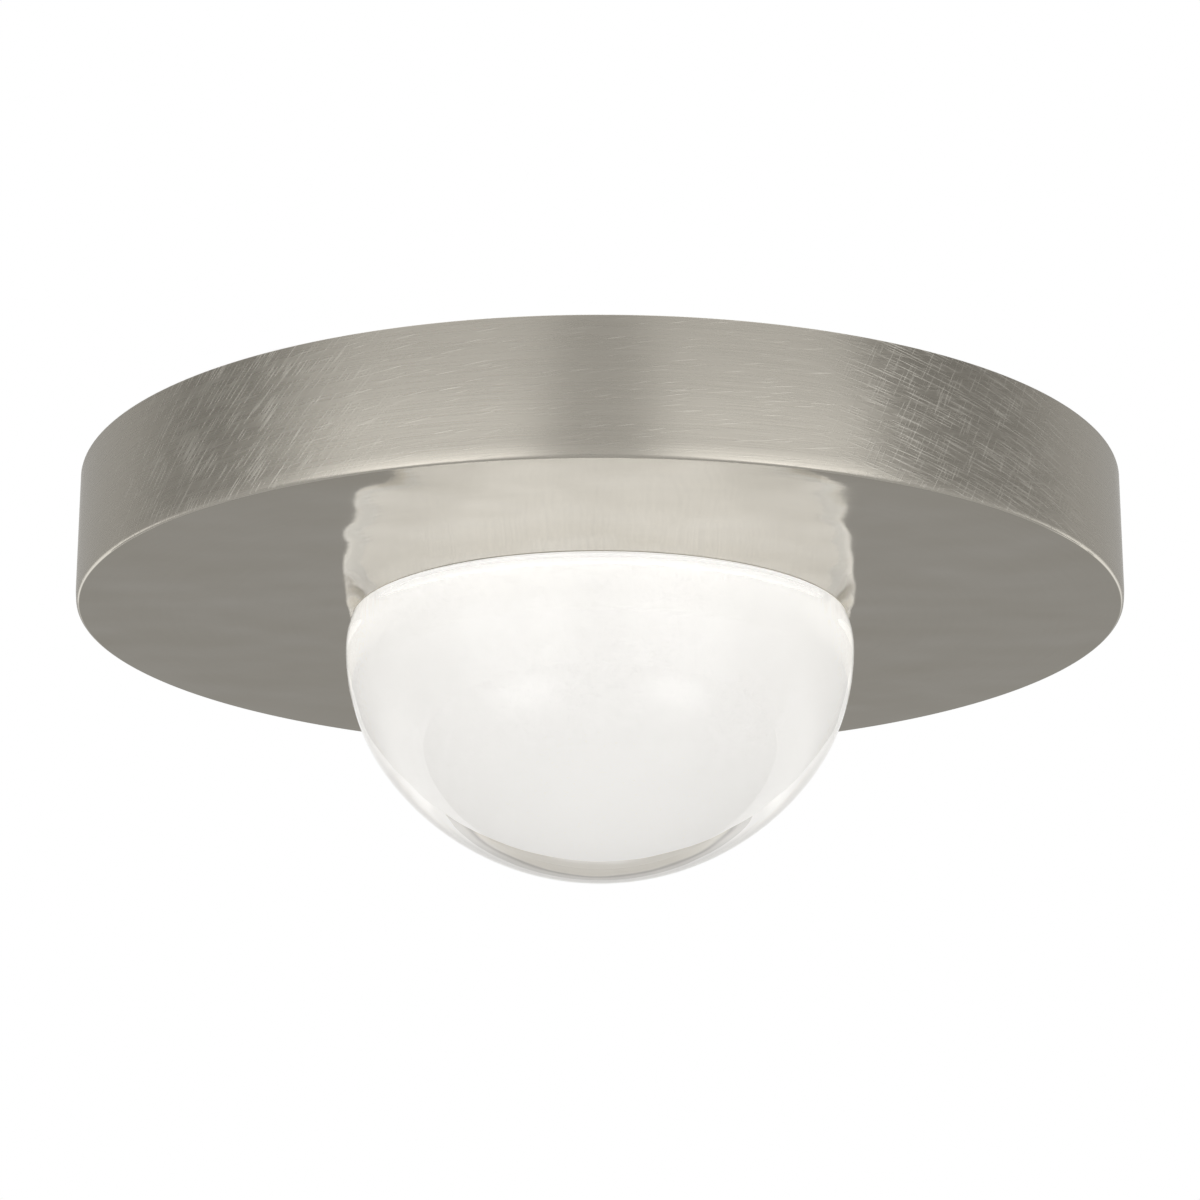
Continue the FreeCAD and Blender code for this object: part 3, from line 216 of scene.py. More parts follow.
# Seen from above, the paper fades to white before its edge
far = window(from_middle, 0.6 * FLOOR_RADIUS, 3 * FLOOR_RADIUS, 1.1, 1)
low_box = window(from_box, -1, LOW_BOX_RADIUS, 0.1, LOW_BOX_BLUR) * ahead * Wire(ray["Is Glossy Ray"])
matt = sheet.nodes["Principled BSDF"].inputs
Wire.join(matt["Base Color"], FLOOR_COLOUR)
Wire.join(matt["Roughness"], 0.9)
Wire.join(matt["Emission Color"], PAPER)
Wire.join(matt["Emission Strength"], shown * (FLOOR_GLOW + EDGE_GLOW * far) + low_box * LOW_BOX_GLOW)

ground = bmesh.new()
bmesh.ops.create_circle(ground, cap_ends=True, segments=96, radius=FLOOR_RADIUS)
bmesh.ops.translate(ground, vec=(0, 0, FLOOR_LEVEL), verts=ground.verts)
mesh = bpy.data.meshes.new("floor")
ground.to_mesh(mesh)
ground.free()
mesh.materials.append(paper)
floor = bpy.data.objects.new("floor", mesh)
bpy.context.collection.objects.link(floor)


def soft_box(name, azimuth, elevation, distance, width, height, brightness):
    """A lit panel that faces the light. Azimuth 0 is behind the camera and 90 to its right."""
    panel = bpy.data.lights.new(name, "AREA")
    panel.shape = "RECTANGLE"
    panel.size = width
    panel.size_y = height
    panel.energy = brightness * pi * width * height
    lamp = bpy.data.objects.new(name, panel)
    turn = radians(azimuth)
    rise = radians(elevation)
    way = Vector((sin(turn) * cos(rise), -cos(turn) * cos(rise), sin(rise)))
    lamp.location = way * distance
    lamp.rotation_euler = way.to_track_quat("Z", "Y").to_euler()
    bpy.context.collection.objects.link(lamp)


soft_box("top_soft_box", azimuth=180, elevation=75, distance=2.6, width=2.4, height=2.4, brightness=1.0)

# ---- Canopy pan ----
# Spun from nickel-plated steel sheet 2 mm thick: a straight wall and a flat underside in one piece, its edge
# rounded over the tool. The wall is brushed round and the underside is left smooth enough to mirror the dome.


def drawn(shape, start, *moves):
    """A line in the XZ plane from start. A move is a point, or a centre with an angle and a step count."""
    tip = shape.verts.new((start[0], 0, start[1]))
    for move in moves:
        if len(move) == 2:
            end = shape.verts.new((move[0], 0, move[1]))
            shape.edges.new((tip, end))
            tip = end
        else:
            x, z, angle, steps = move
            arc = bmesh.ops.spin(
                shape, geom=[tip], cent=(x, 0, z), axis=(0, 1, 0), angle=radians(angle), steps=steps
            )
            tip = arc["geom_last"][0]


def turned(shape, steps):
    """Turns the drawn line once round the Z axis."""
    bmesh.ops.spin(
        shape, geom=shape.verts[:] + shape.edges[:], cent=(0, 0, 0), axis=(0, 0, 1),
        angle=2 * pi, steps=steps, use_merge=True,
    )


def piece(name, shape, body, slot, finishes, *nodes, crease=30):
    """Closes a shape drawn in millimetres into a piece that rides on a body and stands for its CAD nodes."""
    bmesh.ops.remove_doubles(shape, verts=shape.verts, dist=1e-4)
    bmesh.ops.recalc_face_normals(shape, faces=shape.faces)
    bmesh.ops.scale(shape, vec=(0.001, 0.001, 0.001), verts=shape.verts)
    mesh = bpy.data.meshes.new(name)
    shape.to_mesh(mesh)
    shape.free()
    mesh.shade_smooth()
    mesh.set_sharp_from_angle(angle=radians(crease))
    for material in finishes:
        mesh.materials.append(material)
    made = bpy.data.objects.new(name, mesh)
    bpy.context.collection.objects.link(made)
    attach(made, body)
    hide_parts(*nodes)


def finish(recipe):
    """Makes the material that a recipe describes: the recipe gives its shader's sockets by name."""
    material = bpy.data.materials.new(recipe.__name__)
    material.use_nodes = True
    tree = material.node_tree
    shader = tree.nodes["Principled BSDF"]
    for name, value in recipe(tree).items():
        Wire.join(shader.inputs[name], value)
    return material


def spots(tree, size, detail, stretch=(1, 1, 1), turn=0, at=None):
    """Soft random spots of about this size in metres, drawn out by stretch along axes turned about Z."""
    place = at or Wire.node(tree, "TexCoord", output="Object")
    scale = [size * share for share in stretch]
    turned_round = (0, 0, radians(turn))
    place = Wire.node(
        tree, "Mapping", {"vector_type": "TEXTURE"}, {"Vector": place, "Rotation": turned_round, "Scale": scale}
    )
    return Wire.node(tree, "TexNoise", {}, {"Vector": place, "Scale": 1, "Detail": detail})


def round_axis(tree):
    """A point's angle about the Z axis, in degrees from the front, its radius and its height."""
    place = Wire.node(tree, "SeparateXYZ", {}, {0: Wire.node(tree, "TexCoord", output="Object")})
    parts = place.socket.node.outputs
    ahead = Wire(parts["Y"]) * -1
    angle = ahead.math("ARCTAN2", Wire(parts["X"]), ahead) * (180 / pi)
    radius = (Wire(parts["X"]) * Wire(parts["X"]) + Wire(parts["Y"]) * Wire(parts["Y"])) ** 0.5
    return angle, radius, Wire(parts["Z"])


def graded(tree, share, *stops):
    """A grey level that follows a share through stops of place and level."""
    ramp = [(place, (level, level, level)) for place, level in stops]
    return Wire.node(tree, "ValToRGB", {"stops": ramp}, {"Fac": share})


def relief(tree, height, depth):
    """The surface's normal where height, from 0 to 1, stands this many metres proud."""
    return Wire.node(tree, "Bump", {}, {"Height": height, "Strength": 1, "Distance": depth})


PAN_RADIUS = 152.5
PAN_DEPTH = 38.1
SHEET = 2.0
OPENING = 51.7
EDGE_ROUND = 1.0
INNER_ROUND = 1.5
LIP_ROUND = 0.4
# The wall leans in a little over its last millimetres, where the sheet was drawn over the tool
LEAN_CURVE = 26.0
LEAN_ANGLE = 8.0
WALL_FOOT = -26.0
UNDERSIDE_RINGS = (70, 100, 130)
# How far above the underside the wall's finish ends, and how far up the underside's reaches round the edge
WALL_END = 0.3
UNDERSIDE_END = 0.35
NICKEL = (0.635, 0.602, 0.534)
NICKEL_DULL = (0.565, 0.533, 0.472)
# A lighter nickel for the scratches: partly wear, partly painted highlight
NICKEL_WORN_GLINT = (0.82, 0.79, 0.72)


@finish
def brushed_wall(tree):
    lines = spots(tree, 0.0004, 3, (50, 50, 1))
    cloud = spots(tree, 0.009, 3, (2, 2, 1))
    angle, _, height = round_axis(tree)
    unrolled = Wire.node(tree, "CombineXYZ", {}, {0: angle * (PAN_RADIUS / 1000 * pi / 180), 1: height})
    # Handling scratches: patches of straight strokes on the left, and looser ones each way on the right. They
    # are painted lighter than the nickel, partly wear and partly a painted highlight where they catch light
    strokes = graded(tree, spots(tree, 0.00045, 1, (26, 1, 1), 46, unrolled), (0.57, 0), (0.68, 1))
    left = strokes * window(angle, -58, -26, 10, 8)
    fine = graded(tree, spots(tree, 0.0004, 1, (34, 1, 1), -12, unrolled), (0.56, 0), (0.68, 1))
    cross = graded(tree, spots(tree, 0.0005, 1, (18, 1, 1), 63, unrolled), (0.6, 0), (0.7, 1))
    right = (fine + 0.7 * cross) * window(angle, 26, 58, 6, 10)
    rest = graded(tree, spots(tree, 0.0005, 1, (24, 1, 1), 8, unrolled), (0.64, 0), (0.72, 1))
    wear_and_glint = left + right + 0.4 * rest
    brushed = between(NICKEL_DULL, NICKEL, 0.4 * cloud + 0.6 * lines)
    return {
        # Painted highlight: the scratches are mixed towards a lighter nickel, as if they caught light
        "Base Color": between(brushed, NICKEL_WORN_GLINT, 0.6 * wear_and_glint),
        "Metallic": 1,
        "Roughness": 0.2 + 0.16 * lines + 0.16 * wear_and_glint,
        "Anisotropic": 0.8,
        "Anisotropic Rotation": 0.25,
        "Normal": relief(tree, lines + 2 * wear_and_glint, 0.00002),
    }


UNDERSIDE = (0.61, 0.578, 0.508)
UNDERSIDE_DULL = (0.55, 0.519, 0.456)
MEAN_RADIUS = 0.1


@finish
def satin_underside(tree):
    angle, radius, _ = round_axis(tree)
    unrolled = Wire.node(tree, "CombineXYZ", {}, {0: angle * (MEAN_RADIUS * pi / 180), 1: radius})
    lines = spots(tree, 0.0016, 2, (20, 1, 1), 0, unrolled)
    ripple = spots(tree, 0.03, 1)
    cloud = spots(tree, 0.006, 3)
    # The sheet is dished by a hair towards the dome, which stretches what it mirrors
    dished = radius * 0.045 + ripple * 0.0014 + lines * 0.000012
    return {
        "Base Color": between(UNDERSIDE_DULL, UNDERSIDE, 0.3 + 0.4 * cloud + 0.4 * lines),
        "Metallic": 1,
        "Roughness": 0.045 + 0.05 * cloud,
        "Anisotropic": 0.8,
        "Anisotropic Rotation": 0.25,
        "Normal": relief(tree, dished, 1),
    }


@finish
def plated_inside(tree):
    cloud = spots(tree, 0.01, 4)
    lines = spots(tree, 0.0006, 3, (30, 30, 1))
    return {
        "Base Color": between((0.42, 0.41, 0.38), NICKEL_DULL, cloud),
        "Metallic": 1,
        "Roughness": 0.36 + 0.18 * lines,
        "Normal": relief(tree, lines, 0.000012),
    }


pan = bmesh.new()
lean_height = LEAN_CURVE * sin(radians(LEAN_ANGLE))
lean_inset = LEAN_CURVE * (1 - cos(radians(LEAN_ANGLE)))
edge_x = PAN_RADIUS - lean_inset - EDGE_ROUND * cos(radians(LEAN_ANGLE))
edge_z = -PAN_DEPTH + EDGE_ROUND
lean_start = edge_z - EDGE_ROUND * sin(radians(LEAN_ANGLE)) + lean_height
inside = PAN_RADIUS - SHEET
floor_top = -PAN_DEPTH + SHEET
drawn(
    pan,
    (OPENING, floor_top - LIP_ROUND),
    (OPENING, -PAN_DEPTH + LIP_ROUND),
    (OPENING + LIP_ROUND, -PAN_DEPTH + LIP_ROUND, -90, 3),
    *[(radius, -PAN_DEPTH) for radius in UNDERSIDE_RINGS],
    (edge_x, -PAN_DEPTH),
    (edge_x, edge_z, -(90 - LEAN_ANGLE), 8),
    (PAN_RADIUS - LEAN_CURVE, lean_start, -LEAN_ANGLE, 8),
    (PAN_RADIUS, WALL_FOOT),
    (PAN_RADIUS, -LIP_ROUND),
    (PAN_RADIUS - LIP_ROUND, -LIP_ROUND, -90, 3),
    (inside + LIP_ROUND, 0),
    (inside + LIP_ROUND, -LIP_ROUND, -90, 3),
    (inside, floor_top + INNER_ROUND),
    (inside - INNER_ROUND, floor_top + INNER_ROUND, 90, 6),
    (OPENING + LIP_ROUND, floor_top),
    (OPENING + LIP_ROUND, floor_top - LIP_ROUND, -90, 3),
)
turned(pan, 256)
for face in pan.faces:
    middle = face.calc_center_median()
    reach = middle.xy.length
    if reach > inside + SHEET / 2 and middle.z > -PAN_DEPTH + WALL_END:
        face.material_index = 0
    elif middle.z < -PAN_DEPTH + UNDERSIDE_END:
        face.material_index = 1
    else:
        face.material_index = 2
piece("nickel_pan", pan, "pan", "brushed_nickel", [brushed_wall, satin_underside, plated_inside], "canopy_pan")

# ---- Weld studs, nuts and spacers ----
# Short and long M4 studs, capacitor-welded to the pan's floor before it is plated, with zinc-plated hex nuts.
# Three turned aluminium tubes over the long studs hold the heat plate off the floor.


def coat(material, *names):
    """Gives CAD nodes this finish in place of their plain one."""
    for name in names:
        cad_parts[name].material_slots[0].material = material


STUD_PITCH = 0.0007
ZINC = (0.66, 0.67, 0.68)
ZINC_BLUE = (0.52, 0.56, 0.61)


@finish
def rolled_thread(tree):
    cloud = spots(tree, 0.0016, 3)
    _, _, height = round_axis(tree)
    thread = height.math("SINE", height * (2 * pi / STUD_PITCH), 0) * 0.5 + 0.5
    return {
        "Base Color": between(ZINC_BLUE, ZINC, 0.25 + 0.3 * thread + 0.5 * cloud),
        "Metallic": 1,
        "Roughness": 0.24 + 0.22 * cloud,
        "Normal": relief(tree, thread, 0.0002),
    }


@finish
def bright_zinc(tree):
    cloud = spots(tree, 0.0025, 4)
    rub = graded(tree, spots(tree, 0.0006, 2, (8, 1, 1), 30), (0.5, 0), (0.75, 1))
    return {
        "Base Color": between(ZINC_BLUE, ZINC, 0.8 * cloud + 0.35 * rub),
        "Metallic": 1,
        "Roughness": 0.2 + 0.25 * cloud,
        "Normal": relief(tree, cloud + 0.3 * rub, 0.00003),
    }


@finish
def turned_aluminium(tree):
    rings = spots(tree, 0.00025, 2, (60, 60, 1))
    return {
        "Base Color": between((0.66, 0.67, 0.68), (0.8, 0.81, 0.82), rings),
        "Metallic": 1,
        "Roughness": 0.25 + 0.2 * rings,
        "Normal": relief(tree, rings, 0.00002),
    }


coat(rolled_thread, "pan_studs", "plate_studs")
coat(bright_zinc, "stud_nuts", "plate_nuts")
coat(turned_aluminium, "ring_spacers")

# ---- Bayonet ring ----
# Stamped from zinc-plated steel with a yellow passivation and clamped by the spacers on the pan's floor. Its
# three notches let the dome's lugs in, and its stops end their turn.

PASSIVATED = (0.58, 0.545, 0.43)
PASSIVATED_PALE = (0.56, 0.55, 0.5)
PASSIVATED_PINK = (0.58, 0.52, 0.47)


@finish
def passivated_steel(tree):
    cloud = spots(tree, 0.014, 3)
    tint = spots(tree, 0.022, 2, (1, 1.6, 1), 35)
    rolled = spots(tree, 0.0004, 2, (40, 1, 1))
    film = between(between(PASSIVATED_PALE, PASSIVATED, graded(tree, cloud, (0.35, 0), (0.65, 1))),
                   PASSIVATED_PINK, graded(tree, tint, (0.5, 0), (0.72, 0.5)))
    return {
        "Base Color": film,
        "Metallic": 1,
        "Roughness": 0.28 + 0.2 * cloud + 0.1 * rolled,
        "Normal": relief(tree, rolled, 0.00001),
    }


coat(passivated_steel, "bayonet_ring")

# ---- Heat plate and heat sink ----
# The plate is a disc of rolled aluminium that carries the works and takes the lamp's heat. The finned heat
# sink is sawn from an extrusion, and a grey silicone pad couples the plate to the LED board.

ALUMINIUM = (0.8, 0.81, 0.82)
ALUMINIUM_DULL = (0.64, 0.65, 0.67)


@finish
def rolled_aluminium(tree):
    grain = spots(tree, 0.0005, 3, (50, 1, 1))
    cloud = spots(tree, 0.02, 2)
    scuff = graded(tree, spots(tree, 0.0005, 1, (30, 1, 1), 67), (0.66, 0), (0.74, 1))
    return {
        "Base Color": between(ALUMINIUM_DULL, ALUMINIUM, 0.6 * grain + 0.4 * cloud + 0.4 * scuff),
        "Metallic": 1,
        "Roughness": 0.26 + 0.2 * grain + 0.1 * scuff,
        "Normal": relief(tree, grain + 0.4 * scuff, 0.000015),
    }


@finish
def extruded_aluminium(tree):
    drawn_lines = spots(tree, 0.0005, 2, (60, 1, 1))
    sawn = spots(tree, 0.0004, 2, (1, 1, 30))
    return {
        "Base Color": between(ALUMINIUM_DULL, ALUMINIUM, 0.7 * drawn_lines + 0.3 * sawn),
        "Metallic": 1,
        "Roughness": 0.3 + 0.25 * drawn_lines,
        "Normal": relief(tree, drawn_lines + 0.5 * sawn, 0.00003),
    }


@finish
def filled_silicone(tree):
    weave = spots(tree, 0.0008, 2)
    cloud = spots(tree, 0.006, 2)
    return {
        "Base Color": between((0.34, 0.35, 0.37), (0.46, 0.47, 0.49), 0.5 * weave + 0.5 * cloud),
        "Roughness": 0.62 + 0.2 * weave,
        "Normal": relief(tree, weave, 0.00004),
    }


coat(rolled_aluminium, "heat_plate")
coat(extruded_aluminium, "heat_sink")
coat(filled_silicone, "thermal_pad")

# ---- LED board ----
# A round metal-core board with white solder mask over its copper rings. It carries eighteen surface-mounted
# LEDs in two rings, each a yellow phosphor window in a white ceramic body. Three screws hold it to the sink.

# The finish reads these three in metres
INNER_RING = 0.0075
OUTER_RING = 0.0155
TRACK = 0.0017
BOARD_FACE = -28.2


@finish
def white_solder_mask(tree):
    _, radius, _ = round_axis(tree)
    on_inner = radius.math("ABSOLUTE", radius - INNER_RING, 0) < TRACK
    on_outer = radius.math("ABSOLUTE", radius - OUTER_RING, 0) < TRACK
    copper = on_inner + on_outer
    mottle = spots(tree, 0.001, 2)
    return {
        "Base Color": between((0.8, 0.8, 0.78), (0.87, 0.865, 0.84), 0.6 * copper + 0.4 * mottle),
        "Roughness": 0.3 + 0.15 * mottle,
        "Normal": relief(tree, copper + 0.2 * mottle, 0.00005),
    }


@finish
def chip_ceramic(tree):
    grain = spots(tree, 0.0003, 2)
    return {
        "Base Color": between((0.84, 0.84, 0.82), (0.9, 0.9, 0.88), grain),
        "Roughness": 0.4 + 0.2 * grain,
    }


@finish
def phosphor_gel(tree):
    grain = spots(tree, 0.00018, 3)
    return {
        "Base Color": between((0.86, 0.66, 0.12), (0.95, 0.8, 0.28), grain),
        "Roughness": 0.25 + 0.25 * grain,
        "Normal": relief(tree, grain, 0.00003),
    }


def rounded(shape, edges, offset, steps):
    """Rounds edges off. One step makes a chamfer."""
    bmesh.ops.bevel(
        shape, geom=edges, offset=offset, offset_type="OFFSET", segments=steps, profile=0.5, affect="EDGES",
        material=-1,
    )


CHIP_SIDE = 3.0
CHIP_HEIGHT = 0.7
CHIP_RIM = 0.32
CHIP_WELL = 0.12
CHIP_EDGE = 0.06
CHIP_RINGS = ((OUTER_RING * 1000, 12), (INNER_RING * 1000, 6))

chips = bmesh.new()
for ring_radius, count in CHIP_RINGS:
    for index in range(count):
        chip = bmesh.ops.create_cube(chips, size=1)["verts"]
        bmesh.ops.scale(chips, vec=(CHIP_SIDE, CHIP_SIDE, CHIP_HEIGHT), verts=chip)
        bmesh.ops.translate(chips, vec=(ring_radius, 0, BOARD_FACE - CHIP_HEIGHT / 2), verts=chip)
        turn = Matrix.Rotation(2 * pi * index / count, 3, "Z")
        bmesh.ops.rotate(chips, cent=(0, 0, 0), matrix=turn, verts=chip)
rounded(chips, chips.edges[:], CHIP_EDGE, 1)
chips.normal_update()
fronts = [face for face in chips.faces if face.normal.z < -0.99]
bmesh.ops.inset_individual(chips, faces=fronts, thickness=CHIP_RIM, depth=0)
for face in fronts:
    face.material_index = 1
bmesh.ops.inset_individual(chips, faces=fronts, thickness=CHIP_WELL, depth=-CHIP_WELL)
piece("phosphor_chips", chips, "pan", "phosphor", [chip_ceramic, phosphor_gel], "led_chips", crease=20)

coat(white_solder_mask, "led_board")

SCREW_STEPS = 32
SHANK_STEPS = 16
# Shares of the head's radius, but the depth is a share of its height
CROWN_ROUND = 0.3
RECESS_REACH = 0.55
RECESS_WIDTH = 0.14
RECESS_FLANK = 0.05
RECESS_DEPTH = 0.5
SHANK_TAPER = 0.7


def cross_screw(shape, place, head, shank, up):
    """Adds a pan-head screw with a cross recess, its seat at place. Head and shank: a radius and a height."""
    radius, height = head
    screw = bmesh.new()
    bmesh.ops.create_cone(
        screw, cap_ends=True, segments=SCREW_STEPS, radius1=radius, radius2=radius, depth=height
    )
    crown = [edge for edge in screw.edges if all(vert.co.z > 0 for vert in edge.verts)]
    rounded(screw, crown, radius * CROWN_ROUND, 4)
    arm = radius * RECESS_REACH
    half_width = radius * RECESS_WIDTH
    for offset in (-arm, -half_width, half_width, arm):
        for normal in ((1, 0, 0), (0, 1, 0)):
            whole = screw.verts[:] + screw.edges[:] + screw.faces[:]
            bmesh.ops.bisect_plane(screw, geom=whole, plane_co=Vector(normal) * offset, plane_no=normal)
    recess = []
    for face in screw.faces:
        middle = face.calc_center_median()
        inside_arm = max(abs(middle.x), abs(middle.y)) < arm
        in_slot = min(abs(middle.x), abs(middle.y)) < half_width
        if middle.z > height / 2 - 0.01 and inside_arm and in_slot:
            recess.append(face)
    bmesh.ops.inset_region(
        screw, faces=recess, thickness=radius * RECESS_FLANK, depth=-height * RECESS_DEPTH
    )
    stem = bmesh.ops.create_cone(
        screw, cap_ends=True, segments=SHANK_STEPS, radius1=shank[0] * SHANK_TAPER, radius2=shank[0],
        depth=shank[1],
    )["verts"]
    bmesh.ops.translate(screw, vec=(0, 0, -(height + shank[1]) / 2), verts=stem)
    bmesh.ops.translate(screw, vec=(0, 0, height / 2), verts=screw.verts)
    if not up:
        bmesh.ops.rotate(screw, cent=(0, 0, 0), matrix=Matrix.Rotation(pi, 3, "X"), verts=screw.verts)
    bmesh.ops.translate(screw, vec=place, verts=screw.verts)
    made = bpy.data.meshes.new("screw")
    screw.to_mesh(made)
    screw.free()
    shape.from_mesh(made)
    bpy.data.meshes.remove(made)


LED_SCREW_RING = 20.5
LED_SCREW_TURNS = (30, 150, 270)
LED_SCREW_HEAD = (2.4, 1.6)
LED_SCREW_SHANK = (1.45, 8.0)

fixings = bmesh.new()
for turn in LED_SCREW_TURNS:
    spot = (LED_SCREW_RING * cos(radians(turn)), LED_SCREW_RING * sin(radians(turn)), BOARD_FACE)
    cross_screw(fixings, spot, LED_SCREW_HEAD, LED_SCREW_SHANK, up=False)
piece("cross_led_screws", fixings, "pan", "zinc_steel", [bright_zinc], "led_screws", crease=25)

# ---- Reflector sheet ----
# Punched from matt white reflector film round the board and pressed to the plate, to throw the light that comes
# back from the frosted glass down again.


@finish
def reflector_film(tree):
    fibre = spots(tree, 0.0004, 3)
    cloud = spots(tree, 0.01, 2)
    return {
        "Base Color": between((0.84, 0.84, 0.83), (0.9, 0.9, 0.89), 0.5 * fibre + 0.5 * cloud),
        "Roughness": 0.6 + 0.2 * fibre,
        "Normal": relief(tree, fibre, 0.00001),
    }


coat(reflector_film, "reflector_sheet")

# ---- Lead grommet and lead clip ----
# A moulded black rubber grommet guards the leads where they pass the plate, and a nylon saddle riveted to the
# plate's edge holds them on their way to it.


@finish
def moulded_rubber(tree):
    bloom = spots(tree, 0.0015, 3)
    return {
        "Base Color": between((0.02, 0.02, 0.02), (0.06, 0.06, 0.062), bloom),
        "Roughness": 0.5 + 0.3 * bloom,
        "Normal": relief(tree, bloom, 0.00003),
    }


@finish
def moulded_nylon(tree):
    spark = spots(tree, 0.0003, 2)
    cloud = spots(tree, 0.008, 2)
    return {
        "Base Color": between((0.74, 0.74, 0.71), (0.82, 0.82, 0.8), 0.4 * spark + 0.6 * cloud),
        "Roughness": 0.38 + 0.2 * spark,
        "Normal": relief(tree, spark, 0.00004),
    }


coat(moulded_rubber, "lead_grommet")
coat(moulded_nylon, "lead_clip")

# ---- Mounting bracket ----
# A round bracket pressed from the same passivated steel, with a turned-down rim, slots for the outlet box's
# screws, a hole for the house wiring and a green ground screw. It goes up first, and the pan hangs from its two
# studs by knurled brass nuts.


@finish
def ground_green(tree):
    cloud = spots(tree, 0.002, 3)
    return {
        "Base Color": between((0.02, 0.2, 0.06), (0.08, 0.36, 0.14), cloud),
        "Metallic": 0.6,
        "Roughness": 0.3 + 0.25 * cloud,
    }


@finish
def knurled_brass(tree):
    cloud = spots(tree, 0.003, 3)
    lines = spots(tree, 0.0003, 2, (6, 6, 1))
    return {
        "Base Color": between((0.58, 0.42, 0.18), (0.78, 0.62, 0.32), 0.6 * cloud + 0.5 * lines),
        "Metallic": 1,
        "Roughness": 0.2 + 0.25 * cloud,
        "Normal": relief(tree, lines, 0.00003),
    }


coat(passivated_steel, "mounting_bracket")
coat(rolled_thread, "hanger_studs")
coat(bright_zinc, "hanger_lock_nuts", "hanger_washers")
coat(knurled_brass, "hanger_nuts")
coat(ground_green, "bracket_ground_screw")

# ---- LED driver ----
# A two-part box moulded in pale flame-retardant plastic and screwed shut, on two ears over the pan's studs. In
# it are a green circuit board, a transformer in yellow tape and two sleeved capacitors.

DRIVER_HALF_LENGTH = 52.0
DRIVER_NEAR = 78.0
DRIVER_FAR = 118.0
LID_BOTTOM = -15.1
LID_TOP = -13.1
LID_EDGE = 0.5
LID_CORNER = 3.0
LID_BORDER = 9.0
LID_PANEL = 0.45
LID_RIB = 1.2


@finish
def spark_eroded_plastic(tree):
    spark = spots(tree, 0.00045, 3)
    cloud = spots(tree, 0.03, 2)
    return {
        "Base Color": between((0.75, 0.75, 0.72), (0.82, 0.82, 0.8), 0.35 * spark + 0.65 * cloud),
        "Roughness": 0.42 + 0.22 * spark,
        "Normal": relief(tree, spark, 0.00007),
    }


lid = bmesh.new()
bmesh.ops.create_cube(lid, size=1)
lid_middle = (DRIVER_NEAR + DRIVER_FAR) / 2
lid_size = (DRIVER_HALF_LENGTH * 2, DRIVER_FAR - DRIVER_NEAR, LID_TOP - LID_BOTTOM)
bmesh.ops.scale(lid, vec=lid_size, verts=lid.verts)
bmesh.ops.translate(lid, vec=(0, lid_middle, (LID_TOP + LID_BOTTOM) / 2), verts=lid.verts)
lid.normal_update()
corners = [edge for edge in lid.edges if abs(edge.verts[0].co.z - edge.verts[1].co.z) > 1]
top = [face for face in lid.faces if face.normal.z > 0.9]
for thickness, depth in ((LID_BORDER, 0), (LID_PANEL, -LID_PANEL), (LID_RIB, 0), (LID_PANEL, LID_PANEL)):
    bmesh.ops.inset_region(lid, faces=top, thickness=thickness, depth=depth, use_even_offset=True)
rounded(lid, corners, LID_CORNER, 6)
lid.normal_update()
border = []
for edge in lid.edges:
    slopes = [face.normal.z for face in edge.link_faces]
    if max(slopes) > 0.9 and min(slopes) < 0.1:
        border.append(edge)
rounded(lid, border, LID_EDGE, 3)
piece("driver_cover", lid, "pan", "driver_plastic", [spark_eroded_plastic], "driver_lid", crease=35)


@finish
def green_solder_mask(tree):
    place = Wire.node(tree, "TexCoord", output="Object")
    cells = Wire.node(
        tree, "TexVoronoi", {"feature": "F1", "distance": "MANHATTAN"}, {"Vector": place, "Scale": 170}
    )
    tracks = graded(tree, cells, (0.42, 0), (0.47, 1))
    mottle = spots(tree, 0.004, 2)
    return {
        "Base Color": between((0.01, 0.13, 0.05), (0.04, 0.26, 0.1), 0.7 * tracks + 0.3 * mottle),
        "Roughness": 0.28 + 0.15 * mottle,
        "Normal": relief(tree, tracks, 0.00005),
    }


TAPE_MIDDLE = -0.006
TAPE_HALF_WIDTH = 0.0086
TAPE_TOP = -0.0192
TAPE_PITCH = 0.0021
FERRITE = (0.03, 0.03, 0.035)
FERRITE_PALE = (0.09, 0.09, 0.095)


@finish
def taped_ferrite(tree):
    grain = spots(tree, 0.0006, 3)
    place = Wire.node(tree, "SeparateXYZ", {}, {0: Wire.node(tree, "TexCoord", output="Object")})
    x = Wire(place.socket.node.outputs["X"])
    z = Wire(place.socket.node.outputs["Z"])
    middle = x.math("ABSOLUTE", x - TAPE_MIDDLE, 0) < TAPE_HALF_WIDTH
    taped = middle * (z < TAPE_TOP)
    turns = z.math("SINE", z * (2 * pi / TAPE_PITCH), 0) * 0.5 + 0.5
    tape = between((0.72, 0.5, 0.05), (0.86, 0.66, 0.12), turns)
    return {
        "Base Color": between(between(FERRITE, FERRITE_PALE, grain), tape, taped),
        "Roughness": 0.35 + 0.3 * grain,
        "Normal": relief(tree, grain, 0.00004),
    }


STRIPE_START = 0.0345


@finish
def sleeved_can(tree):
    grain = spots(tree, 0.001, 2)
    facing = Wire.node(tree, "SeparateXYZ", {}, {0: Wire.node(tree, "NewGeometry", output="Normal")})
    can_top = Wire(facing.socket.node.outputs["Z"]) > 0.8
    place = Wire.node(tree, "SeparateXYZ", {}, {0: Wire.node(tree, "TexCoord", output="Object")})
    stripe = Wire(place.socket.node.outputs["X"]) > STRIPE_START
    sleeve = between((0.03, 0.045, 0.12), (0.06, 0.08, 0.19), grain)
    sleeve = between(sleeve, (0.62, 0.64, 0.66), stripe)
    return {
        "Base Color": between(sleeve, (0.7, 0.71, 0.72), can_top),
        "Metallic": can_top,
        "Roughness": 0.28 + 0.15 * grain,
    }


LID_SCREW_X = 48.3
LID_SCREW_Y = (81.7, 114.3)
LID_SCREW_HEAD = (2.4, 1.4)
LID_SCREW_SHANK = (1.25, 9.9)

